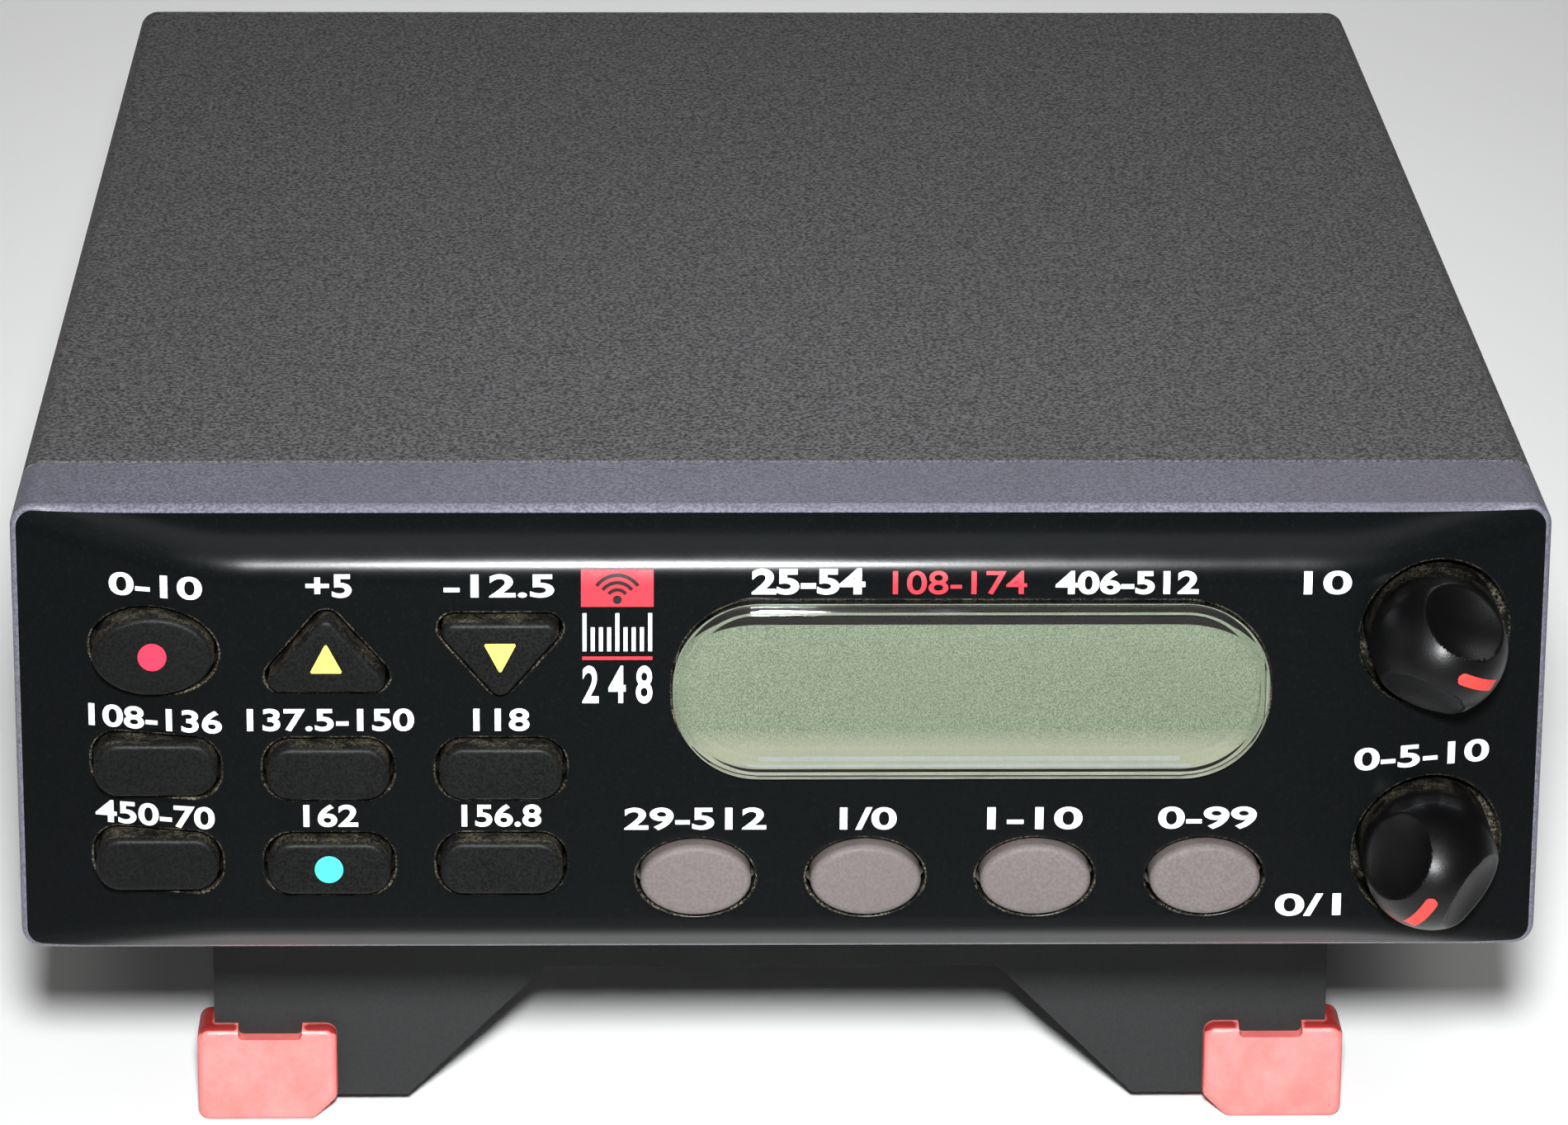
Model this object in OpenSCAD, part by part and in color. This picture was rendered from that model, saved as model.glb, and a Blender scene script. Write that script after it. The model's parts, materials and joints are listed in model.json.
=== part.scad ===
// Desktop police scanner receiver: a flat case on a fold-down tilt stand, with a glossy front
// panel that holds a display, thirteen push keys and two knobs. All lengths are millimetres.
// Every sub-part is drawn in the case's own level position and then placed() leans it back on
// its stand. Level position: x runs to the right, y runs inwards from the rim of the front
// panel, z runs up from the underside of the case.

/* [Case] */
// Width of the case
case_w = 135; // [134.5:0.5:137]
// Height of the case without its feet
case_h = 41.5; // [41:0.5:43]
// Depth of the case behind the rim of the front panel
case_d = 178; // [176:1:186]
// Thickness of the two covers
wall = 1.5; // [1.2:0.1:1.6]
// Corner radius of the case, seen from the front
case_r = 2; // [1:0.25:2.5]

/* [Front panel] */
// Depth of the bezel behind its rim
bezel_d = 12.4; // [12.2:0.1:13]
// Wall thickness of the bezel
bezel_t = 2; // [1.6:0.1:2]
// Distance that the flat middle of the panel stands in front of the rim
bulge = 4; // [3.6:0.1:4.4]
// Width of the flat middle of the panel
face_w = 101; // [98:1:104]
// Height of the flat middle of the panel
face_h = 34.5; // [34:0.5:36]

/* [Keys] */
// Distance between the columns of rubber keys
key_pitch = 15.15; // [14.8:0.05:15.4]
// Distance between the function keys
function_pitch = 15; // [14.8:0.05:15.3]
// Gap between a key and its opening
key_gap = 0.35; // [0.2:0.05:0.5]
// Distance that a key travels when pressed
key_travel = 1; // [0.6:0.1:1]

/* [Display] */
// Width of the display window
window_w = 52.4; // [51:0.2:53]
// Height of the display window
window_h = 16.3; // [15.9:0.1:16.6]
// Distance that the window stands in front of the panel
window_rise = 1.5; // [0.8:0.1:2]

/* [Knobs] */
// Radius of a knob
knob_r = 5.9; // [5.6:0.1:6.2]
// Radius of the well round a knob
well_r = 6.7; // [6.6:0.1:6.9]
// Distance that a knob stands in front of the panel's rim
knob_rise = 13; // [12.5:0.5:14]
// Radius of a control's shaft
shaft_r = 3; // [2.5:0.1:3]
// Clockwise angle of the volume pointer from twelve o'clock
volume_angle = 207; // [190:1:220]
// Clockwise angle of the squelch pointer from twelve o'clock
squelch_angle = 117; // [60:1:300]

/* [Stand] */
// Depth of the stand's hinge line behind the rim
stand_y = 30; // [28:1:32]
// Width of the stand
stand_w = 104.6; // [100:0.2:108]
// Distance from the underside of the case to the lower edge of the stand plate
stand_drop = 26.3; // [24:0.1:28]
// Thickness of the stand plate
stand_t = 3; // [2.4:0.1:3.2]
// Height of the rear feet at their front edge
foot_h = 4; // [3.5:0.1:5]

/* [Inside] */
// Thickness of the circuit boards
board_t = 1.6; // [1.2:0.1:1.6]
// Height of the main board above the underside of the case
board_z = 23; // [22.5:0.1:23]
// Radius of the loudspeaker
speaker_r = 33; // [30:0.5:33]
// Depth of the loudspeaker's centre behind the rim
speaker_y = 95; // [92:1:98]

/* [Hidden] */
$fn = 48;
cut = 0.1;
hair = 0.05;

// The panel's flat middle, its slopes and the hollow behind them
face_z = 20.45;
end_slope = bulge / ((case_w - face_w) / 2);

// Key columns and rows
key_x0 = -55;
key_z = [29.1, 18.45, 9.58];
function_x0 = -7.6;
function_z = 8.2;
flange_y = 1.5;
flange_t = 1;
front_board_y = 10;
pad_t = 0.15;
plunger_r = 2.4;
plunger_end = front_board_y - pad_t - key_travel - 0.1;

// Display
window_x = 16.5;
window_z = 25.8;
window_r = 7.6;

// Knobs and their controls
knob_x = 57.2;
volume_z = 10.3;
squelch_z = 30.4;
well_floor = 1.5;
knob_back = 1;
knob_core = 7;
shaft_back = 8;
dome_h = 8;
dome_over = 0.25;
dome_lead = 0.4;
scoop_r = 8.5;
scoop_out = 10.1;
scoop_up = 0.2;
groove_w = 1.1;
groove_in = 1.2;
groove_deep = 0.15;
shaft_fit = 0.05;

// Covers and the ways they are fastened
seam = 0.2;
boss_x = 61;
boss_y = [24, 158];
floor_t = 2;
post_x = 50;
post_y = [28, 95, 162];
rear_y = case_d - 3.5;
rear_t = 1.5;
lug_x = 58;
lug_z = 7;
screw_r = 1.2;
bracket_y = 85;
bracket_z = 12;
bracket_r = 2.1;

// Stand, its caps and the floor that the scanner stands on
hinge_z = -3.5;
pin_r = 1.6;
pin_fit = 0.05;
ear_x = 30;
ear_w = 4;
cap_w = 13.1;
cap_h = 9.4;
cap_wall = 1.6;
cap_under = 2.1;
notch_top = 13.35;
notch_w = 42.4;
cap_front = stand_y - stand_t / 2 - cap_wall;
foot_y = case_d - 13;
foot_x = 52;
foot_r = 5;
foot_front = foot_y - foot_r;
cap_drop = stand_drop + cap_under;
tilt = atan((cap_drop - foot_h) / (foot_front - cap_front));
lift = cap_front * sin(tilt) + cap_drop * cos(tilt);

// Rear sockets
jack_z = 31;
antenna_x = 45;
power_x = -40;
extension_x = -20;
antenna_out = 8;
antenna_r = 5.5;
antenna_bore = 6;
extension_r = 3.9;
power_r = 4.4;

// The whole scanner, from the volume knob's dome to the antenna socket's mouth, is centred on y = 0
nearest_y = -knob_rise * cos(tilt) + (volume_z - dome_lead) * sin(tilt);
farthest_y = (case_d + antenna_out - 2) * cos(tilt) + (jack_z + antenna_r) * sin(tilt);
centre_y = (nearest_y + farthest_y) / 2;

// ---- Placing and outlines ----

// Leans the level scanner back on its stand
module placed() {
    translate([0, -centre_y, lift]) rotate([-tilt, 0, 0]) children();
}

// Leans a foot back too, and cuts it flush with the floor
module placed_on_floor() {
    intersection() {
        placed() children();
        translate([-case_w, -case_d, 0]) cube([2 * case_w, 2 * case_d, 2 * case_h]);
    }
}

// Stands a flat outline up across the case, from depth y0 to depth y1
module slab(y0, y1) {
    translate([0, y1, 0]) rotate([90, 0, 0]) linear_extrude(y1 - y0) children();
}

// A round bar along the depth of the case, from y0 to y1
module bar(r, y0, y1, x = 0, z = 0) {
    translate([x, y1, z]) rotate([90, 0, 0]) cylinder(r = r, h = y1 - y0);
}

// A block given by its lowest and highest corners
module block(low, high) {
    translate(low) cube(high - low);
}

module rounded_rect(w, h, r) {
    offset(r) square([w - 2 * r, h - 2 * r], center = true);
}

module ellipse(w, h) {
    polygon([for (i = [0:$fn - 1]) [w / 2 * cos(i * 360 / $fn), h / 2 * sin(i * 360 / $fn)]]);
}

// ---- Covers ----

// Upside-down U across the case, drawn in by inset and open at the bottom
module cover_outline(inset, below) {
    w = case_w - 2 * inset;
    translate([0, case_h - inset - 10]) rounded_rect(w, 20, case_r);
    translate([-w / 2, below]) square([w, case_h - inset - 10 - below]);
}

module top_cover() color([0.27, 0.28, 0.3]) placed() {
    difference() {
        slab(bezel_d + seam, case_d) cover_outline(0, 0);
        slab(bezel_d - cut, case_d + cut) cover_outline(wall, -cut);
        for (side = [-1, 1]) translate([side * (case_w / 2 - wall - cut), bracket_y, bracket_z])
            rotate([0, side * 90, 0]) cylinder(r = 3, h = wall + 2 * cut);
    }
    for (side = [-1, 1], y = boss_y) translate([side * boss_x, y, floor_t + hair]) difference() {
        cylinder(r = 3.4, h = case_h - wall - floor_t);
        translate([0, 0, -cut]) cylinder(r = screw_r, h = 14);
    }
}

// Slots under the loudspeaker, each as long as the speaker is wide there
module speaker_slots() {
    reach = speaker_r - 7;
    for (i = [-5:5]) {
        half = sqrt(reach * reach - 25 * i * i);
        translate([0, speaker_y + 5 * i, 0]) {
            translate([-half, -1.1, -cut]) cube([2 * half, 2.2, floor_t + 2 * cut]);
        }
    }
}

// One of the two ears that carry the stand's pins
module stand_ear(x) {
    translate([x, stand_y, 0]) difference() {
        union() {
            translate([-ear_w / 2, -3, hinge_z]) cube([ear_w, 6, -hinge_z + hair]);
            translate([-ear_w / 2, 0, hinge_z]) rotate([0, 90, 0]) cylinder(r = 3, h = ear_w);
        }
        translate([-ear_w, 0, hinge_z]) rotate([0, 90, 0])
            cylinder(r = pin_r + pin_fit, h = 2 * ear_w);
    }
}

module bottom_cover() color([0.2, 0.21, 0.22]) placed() {
    w = case_w - 2 * wall - 0.2;
    difference() {
        union() {
            block([-w / 2, bezel_d + seam, 0], [w / 2, case_d, floor_t]);
            for (side = [-1, 1]) {
                translate([side * (w / 2 - 0.75), 0, 0])
                    block([-0.75, 18, floor_t - hair], [0.75, 172, 10]);
                translate([side * w / 2, bracket_y, bracket_z])
                    rotate([0, -side * 90, 0]) cylinder(r = 4.5, h = 7);
                translate([side * (w / 2 - 3.5), bracket_y, 0])
                    block([-3.5, -4, floor_t - hair], [3.5, 4, bracket_z]);
                translate([side * lug_x, rear_y, 0])
                    block([-4, -9, floor_t - hair], [4, -hair, 12]);
                for (y = post_y) translate([side * post_x, y, floor_t - hair])
                    cylinder(r = 3.5, h = board_z - floor_t + hair);
            }
        }
        for (side = [-1, 1]) {
            for (y = boss_y) translate([side * boss_x, y, -cut]) {
                cylinder(r = 1.4, h = floor_t + 2 * cut);
                cylinder(r = 2.9, h = 1 + cut);
            }
            for (y = post_y) translate([side * post_x, y, board_z - 9])
                cylinder(r = screw_r, h = 10);
            translate([side * (w / 2 + cut), bracket_y, bracket_z])
                rotate([0, -side * 90, 0]) cylinder(r = bracket_r, h = 6 + cut);
            bar(screw_r, rear_y - 8, rear_y, side * lug_x, lug_z);
            for (y = [-1, 1]) translate([side * 22.3, speaker_y + y * 22.3, 0.3])
                cylinder(r = 1.1, h = floor_t);
        }
        speaker_slots();
    }
    for (side = [-1, 1]) stand_ear(side * ear_x);
}

module cover_screws() color([0.15, 0.15, 0.16]) placed() {
    for (side = [-1, 1], y = boss_y) translate([side * boss_x, y, 0.1]) difference() {
        union() {
            cylinder(r = 2.7, h = 0.9);
            cylinder(r = screw_r, h = 12);
        }
        for (turn = [0, 90]) rotate(turn) translate([-1.4, -0.3, -cut]) cube([2.8, 0.6, 0.6]);
    }
}

// ---- Front bezel ----

// Outside form of the bezel, drawn in by inset on every side
module bezel_form(inset, back) {
    corner = 0.414 * inset;
    hull() {
        translate([0, 0, case_h / 2]) slab(corner, back)
            rounded_rect(case_w - 2 * inset, case_h - 2 * inset, max(case_r - inset, 0.5));
        translate([0, 0, face_z]) slab(inset - bulge, inset - bulge + 0.01)
            rounded_rect(face_w, face_h - 2 * corner, 3);
    }
}

// Depth of the panel's outside surface at a place across it
function panel_y(x) = -bulge + max(0, abs(x) - face_w / 2) * end_slope;

module window_outline(grow) {
    translate([window_x, window_z])
        rounded_rect(window_w + 2 * grow, window_h + 2 * grow, window_r + grow);
}

module front_bezel() color([0.06, 0.06, 0.07]) placed() {
    difference() {
        union() {
            difference() {
                bezel_form(0, bezel_d);
                bezel_form(bezel_t, bezel_d + cut);
            }
            intersection() {
                bezel_form(0, bezel_d);
                for (z = [volume_z, squelch_z]) bar(well_r + 1.3, -6, well_floor + 1.5, knob_x, z);
            }
        }
        for (z = [volume_z, squelch_z]) {
            bar(well_r, -7, well_floor, knob_x, z);
            bar(shaft_r + 0.6, 0, 6, knob_x, z);
        }
        slab(-9, 4) all_key_outlines(0);
        slab(-9, 4) window_outline(hair);
    }
    // Lip that slides inside the covers
    translate([0, 0, case_h / 2]) difference() {
        slab(bezel_d - 2, bezel_d + 4.6)
            rounded_rect(case_w - 2 * wall - 0.4, case_h - 4.4, case_r);
        slab(bezel_d - 3, bezel_d + 5) square([case_w - 2 * wall - 3, case_h - 7], center = true);
    }
}

module rear_panel() color([0.62, 0.63, 0.65]) placed() {
    h = case_h - wall - floor_t - 2 * hair;
    front = rear_y - cut;
    back = rear_y + rear_t + cut;
    difference() {
        translate([0, 0, floor_t + hair + h / 2]) slab(rear_y, rear_y + rear_t)
            rounded_rect(case_w - 2 * wall - 0.4, h, case_r);
        for (side = [-1, 1]) bar(1.4, front, back, side * lug_x, lug_z);
        bar(antenna_r + hair, front, back, antenna_x, jack_z);
        bar(extension_r + hair, front, back, extension_x, jack_z);
        bar(power_r + hair, front, back, power_x, jack_z);
        for (i = [0:5]) block([-10 + 5 * i, front, 9], [-7.6 + 5 * i, back, 20]);
    }
}

module rear_screws() color("silver") placed() {
    for (side = [-1, 1]) difference() {
        union() {
            bar(screw_r, rear_y - 7, rear_y + rear_t, side * lug_x, lug_z);
            bar(2.6, rear_y + rear_t, rear_y + rear_t + 1.2, side * lug_x, lug_z);
        }
        for (turn = [0, 90]) translate([side * lug_x, rear_y + rear_t + 0.7, lug_z])
            rotate([0, turn, 0]) block([-1.4, 0, -0.3], [1.4, 1, 0.3]);
    }
}

module rear_feet() color([0.08, 0.08, 0.08]) placed_on_floor() {
    for (side = [-1, 1]) translate([side * foot_x, foot_y, -foot_h - 1])
        cylinder(r = foot_r, h = foot_h + 1);
}

// ---- Tilt stand ----

// Stand plate seen from the front: full width above, with a notch between its two legs
module stand_outline() {
    top = hinge_z + stand_t / 2;
    half = stand_w / 2;
    notch = notch_w / 2;
    depth = stand_drop - notch_top;
    polygon([
        [-half, top], [half, top], [half, -stand_drop], [notch + depth, -stand_drop],
        [notch, -notch_top], [-notch, -notch_top], [-notch - depth, -stand_drop],
        [-half, -stand_drop]
    ]);
}

module stand_plate() color([0.2, 0.21, 0.22]) placed() {
    difference() {
        slab(stand_y - stand_t / 2, stand_y + stand_t / 2) stand_outline();
        for (side = [-1, 1]) {
            translate([side * ear_x, stand_y, 0])
                block([-ear_w / 2 - 0.4, -stand_t, hinge_z - 4], [ear_w / 2 + 0.4, stand_t, 0]);
            translate([side * ear_x - 6, stand_y, hinge_z]) rotate([0, 90, 0])
                cylinder(r = pin_r / 2, h = 12);
        }
    }
}

module stand_pins() color("silver") placed() {
    for (side = [-1, 1]) translate([side * ear_x, stand_y, hinge_z]) rotate([0, 90, 0]) {
        translate([0, 0, -6]) cylinder(r = pin_r / 2, h = 12);
        translate([0, 0, -ear_w / 2 - 0.3]) cylinder(r = pin_r, h = ear_w + 0.6);
    }
}

// Rubber cap round one lower corner of the stand
module stand_cap(side) {
    outer = stand_w / 2 + cap_wall;
    mirror([side < 0 ? 1 : 0, 0, 0]) difference() {
        slab(cap_front, stand_y + stand_t / 2 + cap_wall) polygon([
            [outer - cap_w, -cap_drop + cap_h], [outer, -cap_drop + cap_h],
            [outer, -cap_drop - 1], [outer - cap_w + 2, -cap_drop - 1],
            [outer - cap_w, -cap_drop + 2]
        ]);
        slab(stand_y - stand_t / 2, stand_y + stand_t / 2) stand_outline();
    }
}

module stand_cap_left() color([0.95, 0.5, 0.5]) placed_on_floor() stand_cap(-1);

module stand_cap_right() color([0.95, 0.5, 0.5]) placed_on_floor() stand_cap(1);

// ---- Display ----

// Clear block that stands in front of the panel, with a flange behind it
module display_window() color([0.6, 0.64, 0.52, 0.5]) placed() {
    slab(-bulge - window_rise, -bulge + bezel_t + hair) window_outline(0);
    slab(-bulge + bezel_t, -bulge + bezel_t + flange_t) window_outline(1.4);
}

glass_y = -bulge + bezel_t + flange_t + hair;
glass_t = 2.8;

module display_glass() color([0.5, 0.53, 0.42]) placed() {
    translate([window_x, 0, window_z])
        slab(glass_y, glass_y + glass_t) square([51, window_h], center = true);
}

// White holder of the glass, with a hollow for the lamps and a slot for the contact strip
module display_frame() color([0.9, 0.9, 0.86]) placed() {
    back = front_board_y - hair;
    translate([window_x, 0, window_z]) difference() {
        slab(glass_y, back) square([55.4, 19.2], center = true);
        slab(glass_y - 1, glass_y + glass_t + hair) square([51.2, window_h + 0.2], center = true);
        slab(glass_y + glass_t + 2.6, back + 1) square([50, 8], center = true);
        slab(glass_y, back + 1) translate([0, -6.8]) square([46, 2.4], center = true);
    }
}

module display_lamps() color([1, 0.85, 0.5]) placed() {
    for (side = [-1, 1]) translate([window_x + side * 21, 7.4, window_z - 3]) {
        cylinder(r = 1.5, h = 5);
        translate([0, 0, 5]) sphere(r = 1.5);
    }
}

module display_connector() color([0.75, 0.3, 0.45]) placed() {
    translate([window_x, 0, window_z - 6.8])
        slab(glass_y + glass_t + hair, front_board_y - hair) square([45.6, 2], center = true);
}

module front_board() color([0.12, 0.35, 0.18]) placed() {
    difference() {
        block([-64, front_board_y, 3.8], [64, front_board_y + board_t, 37.7]);
        for (z = [volume_z, squelch_z]) bar(screw_r, front_board_y - 1, front_board_y + 3, knob_x, z);
    }
}

// ---- Keys ----

// Rounded triangle that points up (way 1) or down (way -1)
module triangle(w, h, way) {
    r = 1.4;
    offset(r) polygon([
        [-w / 2 + r, way * (-h / 2 + r)], [w / 2 - r, way * (-h / 2 + r)],
        [0, way * (h / 2 - r)]
    ]);
}

// Where each key's centre is, and its kind
function bank_place(i) = [key_x0 + key_pitch * ((i - 1) % 3), key_z[i < 4 ? 1 : 2]];
function function_place(i) = [function_x0 + function_pitch * (i - 1), function_z];
hold_place = [key_x0, key_z[0]];
up_place = [key_x0 + key_pitch, key_z[0] + 0.3];
down_place = [key_x0 + 2 * key_pitch, key_z[0]];

// Openings of the keys in the panel, each grown by grow
module key_outline(kind, grow) {
    if (kind == "oval") ellipse(11.4 + 2 * grow, 8 + 2 * grow);
    if (kind == "small_oval") ellipse(10.5 + 2 * grow, 7.3 + 2 * grow);
    if (kind == "up") offset(delta = grow) triangle(10.9, 7.5, 1);
    if (kind == "down") offset(delta = grow) triangle(10.9, 7.5, -1);
    if (kind == "pill") rounded_rect(11.5 + 2 * grow, 5.7 + 2 * grow, 2.5 + grow);
}

module all_key_outlines(grow) {
    translate(hold_place) key_outline("oval", grow);
    translate(up_place) key_outline("up", grow);
    translate(down_place) key_outline("down", grow);
    for (i = [1:6]) translate(bank_place(i)) key_outline("pill", grow);
    for (i = [1:4]) translate(function_place(i)) key_outline("small_oval", grow);
}

// A key: rounded cap that stands rise in front of the panel, flange behind it and plunger
module key(place, kind, rise) {
    face = panel_y(place[0]) - rise;
    placed() translate([place[0], 0, place[1]]) {
        hull() {
            slab(face, face + 0.1) key_outline(kind, -key_gap - 0.5);
            slab(face + 0.5, flange_y + hair) key_outline(kind, -key_gap);
        }
        slab(flange_y, flange_y + flange_t) key_outline(kind, 0.6);
        bar(plunger_r, flange_y + flange_t - hair, plunger_end);
    }
}

rubber = [0.16, 0.16, 0.17];
grey = [0.58, 0.54, 0.54];
module key_hold() color(rubber) key(hold_place, "oval", 1.8);
module key_up() color(rubber) key(up_place, "up", 1.6);
module key_down() color(rubber) key(down_place, "down", 1.6);
module key_bank(i) color(rubber) key(bank_place(i), "pill", 1.5);
module key_function(i) color(grey) key(function_place(i), "small_oval", 1.1);

all_places = concat(
    [hold_place, up_place, down_place],
    [for (i = [1:6]) bank_place(i)],
    [for (i = [1:4]) function_place(i)]
);

// Silicone sheet on the front board, with a hollow cone round each plunger
module keypad_mat() color([0.3, 0.3, 0.32]) placed() {
    back = front_board_y - hair / 2;
    difference() {
        union() {
            slab(9, back) translate([-62, 4.4]) square([44, 32]);
            slab(9, back) translate([-18.1, 4.4]) square([61, 8]);
            for (p = all_places) translate([p[0], 9 + hair, p[1]])
                rotate([90, 0, 0]) cylinder(r1 = 4.1, r2 = 3.5, h = 3.5);
        }
        for (p = all_places) bar(plunger_r + 0.5, 5, 11, p[0], p[1]);
    }
}

module key_contacts() color([0.8, 0.65, 0.3]) placed() {
    for (p = all_places) bar(2.2, front_board_y - pad_t, front_board_y, p[0], p[1]);
}

module front_header() color([0.1, 0.1, 0.1]) placed() {
    back = front_board_y + board_t;
    block([-25, back, board_z + board_t], [25, back + 11, board_z + board_t + 2.5]);
}

// ---- Knobs and controls ----

// Dome of a knob: the upper half of an ellipsoid that reaches a little past the knob's side
module knob_dome() {
    rotate_extrude() intersection() {
        scale([(knob_r + dome_over) / dome_h, 1]) circle(r = dome_h);
        square(dome_h);
    }
}

// Knob with its axis up and its pointer towards -y: round, domed, with a scoop on each side
module knob_body() {
    dome_z = knob_rise - dome_h;
    difference() {
        intersection() {
            translate([0, 0, -knob_back]) cylinder(r = knob_r, h = knob_rise + knob_back);
            union() {
                translate([0, 0, dome_z]) knob_dome();
                translate([0, 0, -2 * knob_back]) cylinder(r = knob_r + 1, h = dome_z + 2 * knob_back + cut);
            }
        }
        for (side = [-1, 1])
            translate([side * scoop_out, 0, knob_rise + scoop_up]) sphere(r = scoop_r);
        difference() {
            translate([-groove_w / 2, -knob_r - 1, dome_z]) cube([groove_w, knob_r + 1 - groove_in, dome_h + 1]);
            translate([0, 0, dome_z - groove_deep]) knob_dome();
        }
        translate([0, 0, -knob_back - cut]) shaft_form(knob_back + cut + knob_core);
    }
}

// Round shaft with a flat on its front length
module shaft_form(h) {
    difference() {
        cylinder(r = shaft_r, h = h);
        translate([shaft_r - 0.8, -shaft_r, -cut])
            cube([shaft_r, 2 * shaft_r, h + 2 * cut]);
    }
}

// Turns a form with its axis up so that it faces forwards, its -y side at a clockwise angle
module facing(z, angle) {
    translate([knob_x, 0, z]) rotate([0, angle - 180, 0]) rotate([90, 0, 0]) children();
}

module control_shaft(z, angle) {
    placed() facing(z, angle) {
        translate([0, 0, -knob_back]) shaft_form(knob_back + knob_core);
        translate([0, 0, -shaft_back]) cylinder(r = shaft_r, h = shaft_back - knob_back);
    }
}

module control_body(z) {
    placed() difference() {
        block([knob_x - 5, well_floor + 1.6, z - 5.5], [knob_x + 5, front_board_y - hair, z + 5.5]);
        bar(shaft_r + shaft_fit, well_floor, shaft_back + 0.2, knob_x, z);
    }
}

module volume_knob() color([0.05, 0.05, 0.05]) placed() facing(volume_z, volume_angle) knob_body();
module squelch_knob() color([0.05, 0.05, 0.05]) placed() facing(squelch_z, squelch_angle) knob_body();
module volume_shaft() color("silver") control_shaft(volume_z, volume_angle);
module squelch_shaft() color("silver") control_shaft(squelch_z, squelch_angle);
module volume_control() color([0.25, 0.25, 0.3]) control_body(volume_z);
module squelch_control() color([0.25, 0.25, 0.3]) control_body(squelch_z);

// ---- Main board and what it carries ----

deck = board_z + board_t;

module main_board() color([0.12, 0.4, 0.2]) placed() {
    difference() {
        block([-56, 19.5, board_z], [56, 168, deck]);
        for (side = [-1, 1], y = post_y) translate([side * post_x, y, board_z - 1])
            cylinder(r = 1.4, h = 5);
    }
}

module board_screws() color("silver") placed() {
    for (side = [-1, 1], y = post_y) translate([side * post_x, y, 0]) difference() {
        union() {
            translate([0, 0, board_z - 8]) cylinder(r = screw_r, h = 8 + board_t);
            translate([0, 0, deck]) cylinder(r = 2.5, h = 1.4);
        }
        for (turn = [0, 90]) rotate(turn) translate([-1.4, -0.3, deck + 0.8]) cube([2.8, 0.6, 1]);
    }
}

shield_low = [-45, 112, deck];
shield_high = [-5, 156, 35];

module tuner_shield() color([0.75, 0.76, 0.78]) placed() {
    difference() {
        block(shield_low, shield_high);
        block(shield_low + [0.5, 0.5, -1], shield_high + [-0.5, -0.5, 1]);
    }
    block([-25.5, 112.4, deck], [-25, 155.6, 34]);
}

module tuner_lid() color([0.8, 0.81, 0.83]) placed() {
    low = [shield_low[0] - 0.6, shield_low[1] - 0.6, 32];
    high = [shield_high[0] + 0.6, shield_high[1] + 0.6, 35.6];
    difference() {
        block(low, high);
        block(low + [0.5, 0.5, -1], high + [-0.5, -0.5, -0.55]);
    }
}

module crystal_filters() color([0.8, 0.8, 0.75]) placed() {
    for (i = [0:1]) translate([10, 118 + 9 * i, deck]) {
        block([-3.3, -2.2, 0], [3.3, 2.2, 11]);
        for (side = [-1, 1]) translate([side * 3.3, 0, 0]) cylinder(r = 2.2, h = 11);
    }
}

module processor() color([0.08, 0.08, 0.08]) placed() {
    translate([0, 52, deck]) {
        block([-10, -7, 0.4], [10, 7, 2.8]);
        for (side = [-1, 1], i = [-9:9]) translate([i, side * 7.6, 0])
            block([-0.2, -0.65, 0], [0.2, 0.65, 1.4]);
    }
}

sink_front = 164.6;

module audio_amplifier() color([0.08, 0.08, 0.08]) placed() {
    block([20, sink_front - 4.2, deck + 3], [34, sink_front, 37]);
    for (i = [0:4]) block([21 + 2.6 * i, sink_front - 2.4, deck], [21.6 + 2.6 * i, sink_front - 1.8, deck + 3.1]);
}

module voltage_regulator() color([0.1, 0.1, 0.1]) placed() {
    block([7.5, sink_front - 4.2, deck + 3], [17.5, sink_front, 37]);
    for (i = [0:2]) block([9.5 + 2.6 * i, sink_front - 2.4, deck], [10.1 + 2.6 * i, sink_front - 1.8, deck + 3.1]);
}

module heat_sink() color([0.6, 0.6, 0.62]) placed() {
    block([6, sink_front, deck + 2], [36, sink_front + 2.4, 39]);
    for (i = [0:6]) block([6 + 4.75 * i, sink_front + 2.3, deck + 2], [7.5 + 4.75 * i, rear_y, 39]);
}

// Radial capacitors: place across, depth, radius and height of each
capacitor_list = [[28, 144, 5, 12], [46, 132, 4, 11], [30, 66, 5, 12.5], [-28, 66, 4, 9], [42, 45, 3.2, 8]];

module capacitors() color([0.12, 0.14, 0.3]) placed() {
    for (c = capacitor_list) translate([c[0], c[1], deck]) difference() {
        cylinder(r = c[2], h = c[3]);
        translate([0, 0, c[3] - 0.3]) cylinder(r = c[2] - 0.8, h = 1);
    }
}

module coil_cans() color([0.78, 0.79, 0.8]) placed() {
    for (p = [[-38, 120], [-38, 134], [-38, 148], [-15, 126], [-15, 142], [26, 118], [26, 106]])
        translate([p[0], p[1], deck]) difference() {
            block([-3.5, -3.5, 0], [3.5, 3.5, 9]);
            translate([0, 0, 8]) cylinder(r = 1.6, h = 2);
        }
}

module memory_cell() color([0.7, 0.7, 0.72]) placed() {
    translate([-30, 90, deck]) {
        cylinder(r = 10, h = 3.2);
        block([-3, -12, 0], [3, -9.9, 2]);
    }
}

// ---- Loudspeaker ----

speaker_z = floor_t + hair;

module speaker_frame() color([0.55, 0.56, 0.58]) placed() {
    translate([0, speaker_y, speaker_z]) difference() {
        rotate_extrude() polygon([
            [27, 0], [speaker_r, 0], [speaker_r, 0.8], [30, 0.8], [15, 8.2], [15, 9], [6, 9],
            [6, 8.2], [14.4, 8.2], [27, 2]
        ]);
        for (turn = [45:90:315]) rotate(turn) translate([31.54, 0, -1]) cylinder(r = 1.3, h = 3);
    }
}

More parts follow.
